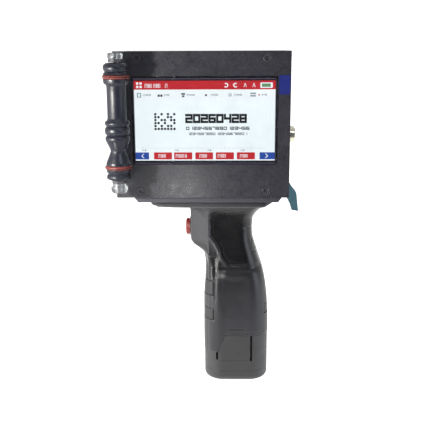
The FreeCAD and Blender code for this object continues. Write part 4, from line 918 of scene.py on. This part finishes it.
def build_display():
    mask = Plates("screen_mask", FINISHES["lcd_frame"], 0)
    mask.box(-0.008, -0.035, 1.010, 1.045, 1.2)
    # painted highlight of the glass edges, as thin glowing lines round the picture
    rim = Plates("screen_rim", GLOW["rim"], 1)
    rim.box(-0.0055, -0.028, 1.0055, -0.020, 0.1).box(-0.0055, 1.030, 1.0055, 1.036, 0.1)
    rim.box(1.0035, -0.02, 1.0055, 1.03, 0.1).box(-0.0055, -0.02, -0.0035, 1.03, 0.1)
    ground = Plates("screen_ground", GLOW["white"], 1)
    ground.box(0, 0.10, 1, 1, 0.3)
    main = Plates("screen_canvas", GLOW["pale"], 2)
    main.box(0.0, 0.245, 1.0, 0.885, 0.2)
    red = Plates("screen_red", GLOW["red"], 2)
    red.box(0, 0, 1, 0.108, 0.3)
    for u0, u1 in ((0.132, 0.262), (0.277, 0.408), (0.430, 0.558), (0.578, 0.708), (0.729, 0.859)):
        red.box(u0, 0.895, u1, 0.985, 0.5)
    red.disc(0.885, 0.175, 0.55)
    blue = Plates("screen_blue", GLOW["blue"], 2)
    blue.box(0, 0.895, 0.096, 0.985, 0.4)
    blue.box(0.892, 0.895, 1.0, 0.985, 0.4)
    marks = Plates("screen_marks", GLOW["white"], 3)
    for u in (0.017, 0.041):
        for v in (0.03, 0.072):
            marks.box(u, v - 0.012, u + 0.016, v + 0.016, 0.3)
    words(marks, 0.078, 0.04, 0.042, (0.013, 0.010, 0.014))
    words(marks, 0.140, 0.04, 0.042, (0.009, 0.010, 0.016))
    words(marks, 0.222, 0.04, 0.042, (0.016,))
    marks.disc(0.651, 0.056, 1.55, 0.85, -140, 130)
    marks.disc(0.718, 0.056, 1.55, 0.85, 50, 320)
    marks.peak(0.786, 0.056, 1.3).peak(0.848, 0.056, 1.3)
    marks.box(0.893, 0.024, 0.980, 0.090, 0.5)
    for u0, lengths in ((0.165, (0.012, 0.018, 0.012)), (0.290, (0.016, 0.020, 0.020, 0.014)),
                        (0.460, (0.014, 0.018, 0.012)), (0.592, (0.018, 0.014, 0.020)),
                        (0.752, (0.014, 0.018, 0.014))):
        words(marks, u0, 0.922, 0.036, lengths)
    marks.chevron(0.040, 0.940, 1.5).chevron(0.954, 0.940, -1.5)
    grey = Plates("screen_faint", GLOW["grey"], 3)
    for u, lengths in ((0.068, (0.016, 0.012, 0.014)), (0.215, (0.014, 0.018)), (0.375, (0.014, 0.016, 0.018)),
                       (0.545, (0.012, 0.018, 0.010)), (0.712, (0.014, 0.012, 0.016)), (0.905, (0.018, 0.012))):
        words(grey, u, 0.166, 0.016, lengths)
    for step in range(46):
        u = 0.05 + step * 0.0196
        grey.box(u, 0.842 - (0.022 if step % 10 == 0 else 0.008), u + 0.002, 0.852, 0.05)
    for u in (0.052, 0.283, 0.520, 0.758):
        words(grey, u, 0.862, 0.014, (0.008, 0.008))
    grey.disc(0.680, 0.175, 1.05, 0.55)
    grey.box(0.823, 0.148, 0.862, 0.166, 0.15).box(0.823, 0.178, 0.862, 0.196, 0.15)
    teal = Plates("screen_teal", GLOW["teal"], 3)
    teal.box(0.022, 0.150, 0.050, 0.158, 0.1).box(0.022, 0.196, 0.050, 0.204, 0.1)
    teal.box(0.022, 0.150, 0.028, 0.204, 0.1).box(0.044, 0.150, 0.050, 0.204, 0.1)
    ink = Plates("screen_ink", GLOW["ink"], 3)
    ink.box(0.168, 0.168, 0.183, 0.196, 0.2).box(0.187, 0.168, 0.202, 0.196, 0.2)
    ink.box(0.334, 0.152, 0.362, 0.172, 0.3).box(0.339, 0.180, 0.357, 0.200, 0.3)
    ink.box(0.503, 0.166, 0.517, 0.188, 0.2)
    for row, cells in enumerate(("1010101", "1100110", "1011011", "1101001", "1010110", "1111111")):
        for column, filled in enumerate(cells):
            if filled == "1":
                ink.disc(0.148 + column * 0.0225, 0.412 + row * 0.037, 0.85)
    digits(ink, "20260428", 0.368, 0.425, 0.038, 0.085, 0.015)
    digits(ink, "01234567890123456", 0.368, 0.575, 0.0185, 0.030, 0.0050)
    digits(ink, "123456789012345678901", 0.374, 0.648, 0.0142, 0.024, 0.0034)
    green = Plates("screen_green", GLOW["green"], 4)
    green.box(0.903, 0.036, 0.966, 0.078, 0.3)
    for plates in (mask, rim, ground, main, red, blue, marks, grey, teal, ink, green):
        plates.build()


def slab(name, x0, x1, z0, z1, y0, y1, corner, wave, material_slot, steps=60):
    """A thin rounded sheet whose front is a grid, so that it can ripple by wave(x, z)."""
    xs = np.linspace(x0, x1, steps)
    zs = np.linspace(z0, z1, int(steps * (z1 - z0) / (x1 - x0)))
    front = np.zeros((len(zs), len(xs), 3))
    for row, z in enumerate(zs):
        rise = max(0.0, corner - min(z - z0, z1 - z))
        pull = corner - math.sqrt(max(corner * corner - rise * rise, 0.0))
        line = np.interp(xs, [x0, x1], [x0 + pull, x1 - pull])
        front[row] = np.stack([line, y0 + wave(line, np.full(line.shape, z)), np.full(line.shape, z)], axis=-1)
    back = front.copy()
    back[..., 1] = y1
    points, faces = closed_sheet(front, back)
    return new_piece(name, points, faces, "head", material_slot, 40)


def build_glass():
    glass = slab("cover_glass", SCREEN_LOW.x, SCREEN_HIGH.x, SCREEN_LOW.z, SCREEN_HIGH.z, SCREEN_LOW.y + 0.05,
                 PICTURE_BACK - 8 * LAYER, 1.0, lambda x, z: 0 * x, "screen_glass")
    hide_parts("touch_glass")
    low, high = (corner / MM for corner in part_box("screen_film"))

    def ripple(x, z):
        fold = np.exp(-((x - 14.0) / 3.0) ** 2 - ((z - high.z + 3.0) / 1.6) ** 2)
        edge = np.minimum(np.minimum(x - low.x, high.x - x), np.minimum(z - low.z, high.z - z))
        return 0.05 - 0.05 * fold - 0.02 * (1 - smoothstep(0.0, 1.2, edge)) + 0.01 * np.sin(x / 9) * np.cos(z / 7)
    film = slab("cover_film", low.x, high.x, low.z, high.z, low.y, high.y - 0.02, 1.2, ripple, "film_clear", 160)
    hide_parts("screen_film")


build_display()
build_glass()


# ---------------------------------------------------------------- studio

def floor():
    """A pale floor, dark on the display's side except to the camera, so the panel keeps its dark gloss."""
    recipe = Recipe("studio_floor").put(Roughness=0.9, Emission_Strength=1.0)
    split = recipe.add("ShaderNodeSeparateXYZ")
    recipe.link(recipe.place, split.inputs[0])
    fade = recipe.span(split.outputs["Y"], 0, 1, -0.34, -0.10)
    near = recipe.larger(fade, recipe.add("ShaderNodeLightPath").outputs["Is Camera Ray"])
    recipe.link(recipe.mix(near, (0.0, 0.0, 0.0, 1), (0.85, 0.85, 0.83, 1)), recipe.shader.inputs["Emission Color"])
    cloud = recipe.mix(recipe.noise(400.0, 2.0), (0.84, 0.85, 0.84, 1), (0.88, 0.88, 0.87, 1))
    recipe.colour(recipe.mix(near, (0.14, 0.14, 0.15, 1), cloud))
    recipe.bump((recipe.noise(3.0, 2.0), 0.02))
    mesh = bpy.data.meshes.new("studio_floor")
    reach, drop = 30.0, -0.08  # low enough for the battery to slide out above it
    corners = ((-reach, -reach), (reach, -reach), (reach, reach), (-reach, reach))
    mesh.from_pydata([(x, y, drop) for x, y in corners], [], [(0, 1, 2, 3)])
    mesh.materials.append(recipe.material)
    new_object("studio_floor", mesh)


def world():
    """White for the camera; for light and reflections it dims towards the display's side."""
    made = bpy.data.worlds.new("studio")
    made.use_nodes = True
    tree = made.node_tree
    background = tree.nodes["Background"]
    background.inputs["Color"].default_value = (1, 1, 1, 1)
    split = tree.nodes.new("ShaderNodeSeparateXYZ")
    tree.links.new(tree.nodes.new("ShaderNodeTexCoord").outputs["Generated"], split.inputs[0])
    fade = tree.nodes.new("ShaderNodeMapRange")
    for key, value in (("From Min", -0.8), ("From Max", 0.1), ("To Min", 0.1), ("To Max", 1.08)):
        fade.inputs[key].default_value = value
    tree.links.new(split.outputs["Y"], fade.inputs["Value"])
    seen = tree.nodes.new("ShaderNodeLightPath").outputs["Is Camera Ray"]
    strength = tree.nodes.new("ShaderNodeMath")
    strength.operation = "MAXIMUM"
    tree.links.new(fade.outputs[0], strength.inputs[0])
    tree.links.new(seen, strength.inputs[1])
    tree.links.new(strength.outputs[0], background.inputs["Strength"])
    bpy.context.scene.world = made


def softbox(name, place, target, width, height, power, colour):
    light = bpy.data.lights.new(name, "AREA")
    light.shape, light.size, light.size_y = "RECTANGLE", width * MM, height * MM
    light.energy, light.color = power, colour
    made = new_object(name, light)
    made.visible_camera = False
    made.location = Vector(place) * MM
    made.rotation_euler = (Vector(target) - Vector(place)).to_track_quat("-Z", "Y").to_euler()


def camera():
    """Camera in front of the display, level with the top of the box and looking slightly down."""
    pitch, yaw, roll = math.radians(13.22), math.radians(-1.03), math.radians(0.23)
    forward = Vector((math.sin(yaw) * math.cos(pitch), math.cos(yaw) * math.cos(pitch), -math.sin(pitch)))
    level = Vector((math.cos(yaw), -math.sin(yaw), 0))
    down = forward.cross(level)
    right = level * math.cos(roll) + down * math.sin(roll)
    up = right.cross(forward)
    data = bpy.data.cameras.new("camera")
    data.lens, data.sensor_width = 59.34, 36.0
    data.clip_start, data.clip_end = 0.01, 100.0
    made = new_object("camera", data)
    made.matrix_world = Matrix.Translation(Vector((-6.5, -515.0, 245.5)) * MM) @ Matrix(
        ((right.x, up.x, -forward.x), (right.y, up.y, -forward.y), (right.z, up.z, -forward.z))).to_4x4()
    bpy.context.scene.camera = made


LAMPS = (  # name, place, target, width, height, power, colour
    ("key", (-170, -158, 190), (-50, -35, 170), 14, 14, 0.7, (1.0, 0.97, 0.92)),
    ("fill", (220, -480, 520), (0, 0, 100), 70, 70, 1.0, (0.86, 0.91, 1)),
    ("low_key", (-150, -150, 40), (-15, -20, 75), 30, 30, 0.17, (1.0, 0.98, 0.94)),
    ("panel_spot", (-44, -150, 126), (-36, -35, 152), 12, 12, 0.03, (1.0, 0.99, 0.94)),
    ("left_wall", (-650, -260, 130), (0, 0, 90), 420, 420, 2.0, (1, 1, 1)),
    ("right_wall", (520, -330, 80), (0, 0, 70), 320, 300, 1.15, (0.84, 0.89, 1)),
    ("overhead", (-60, -300, 760), (0, 0, 60), 420, 300, 1.0, (1, 1, 1)),
)

floor()
world()
for lamp in LAMPS:
    softbox(*lamp)
camera()
bpy.context.scene.view_settings.view_transform = "Standard"
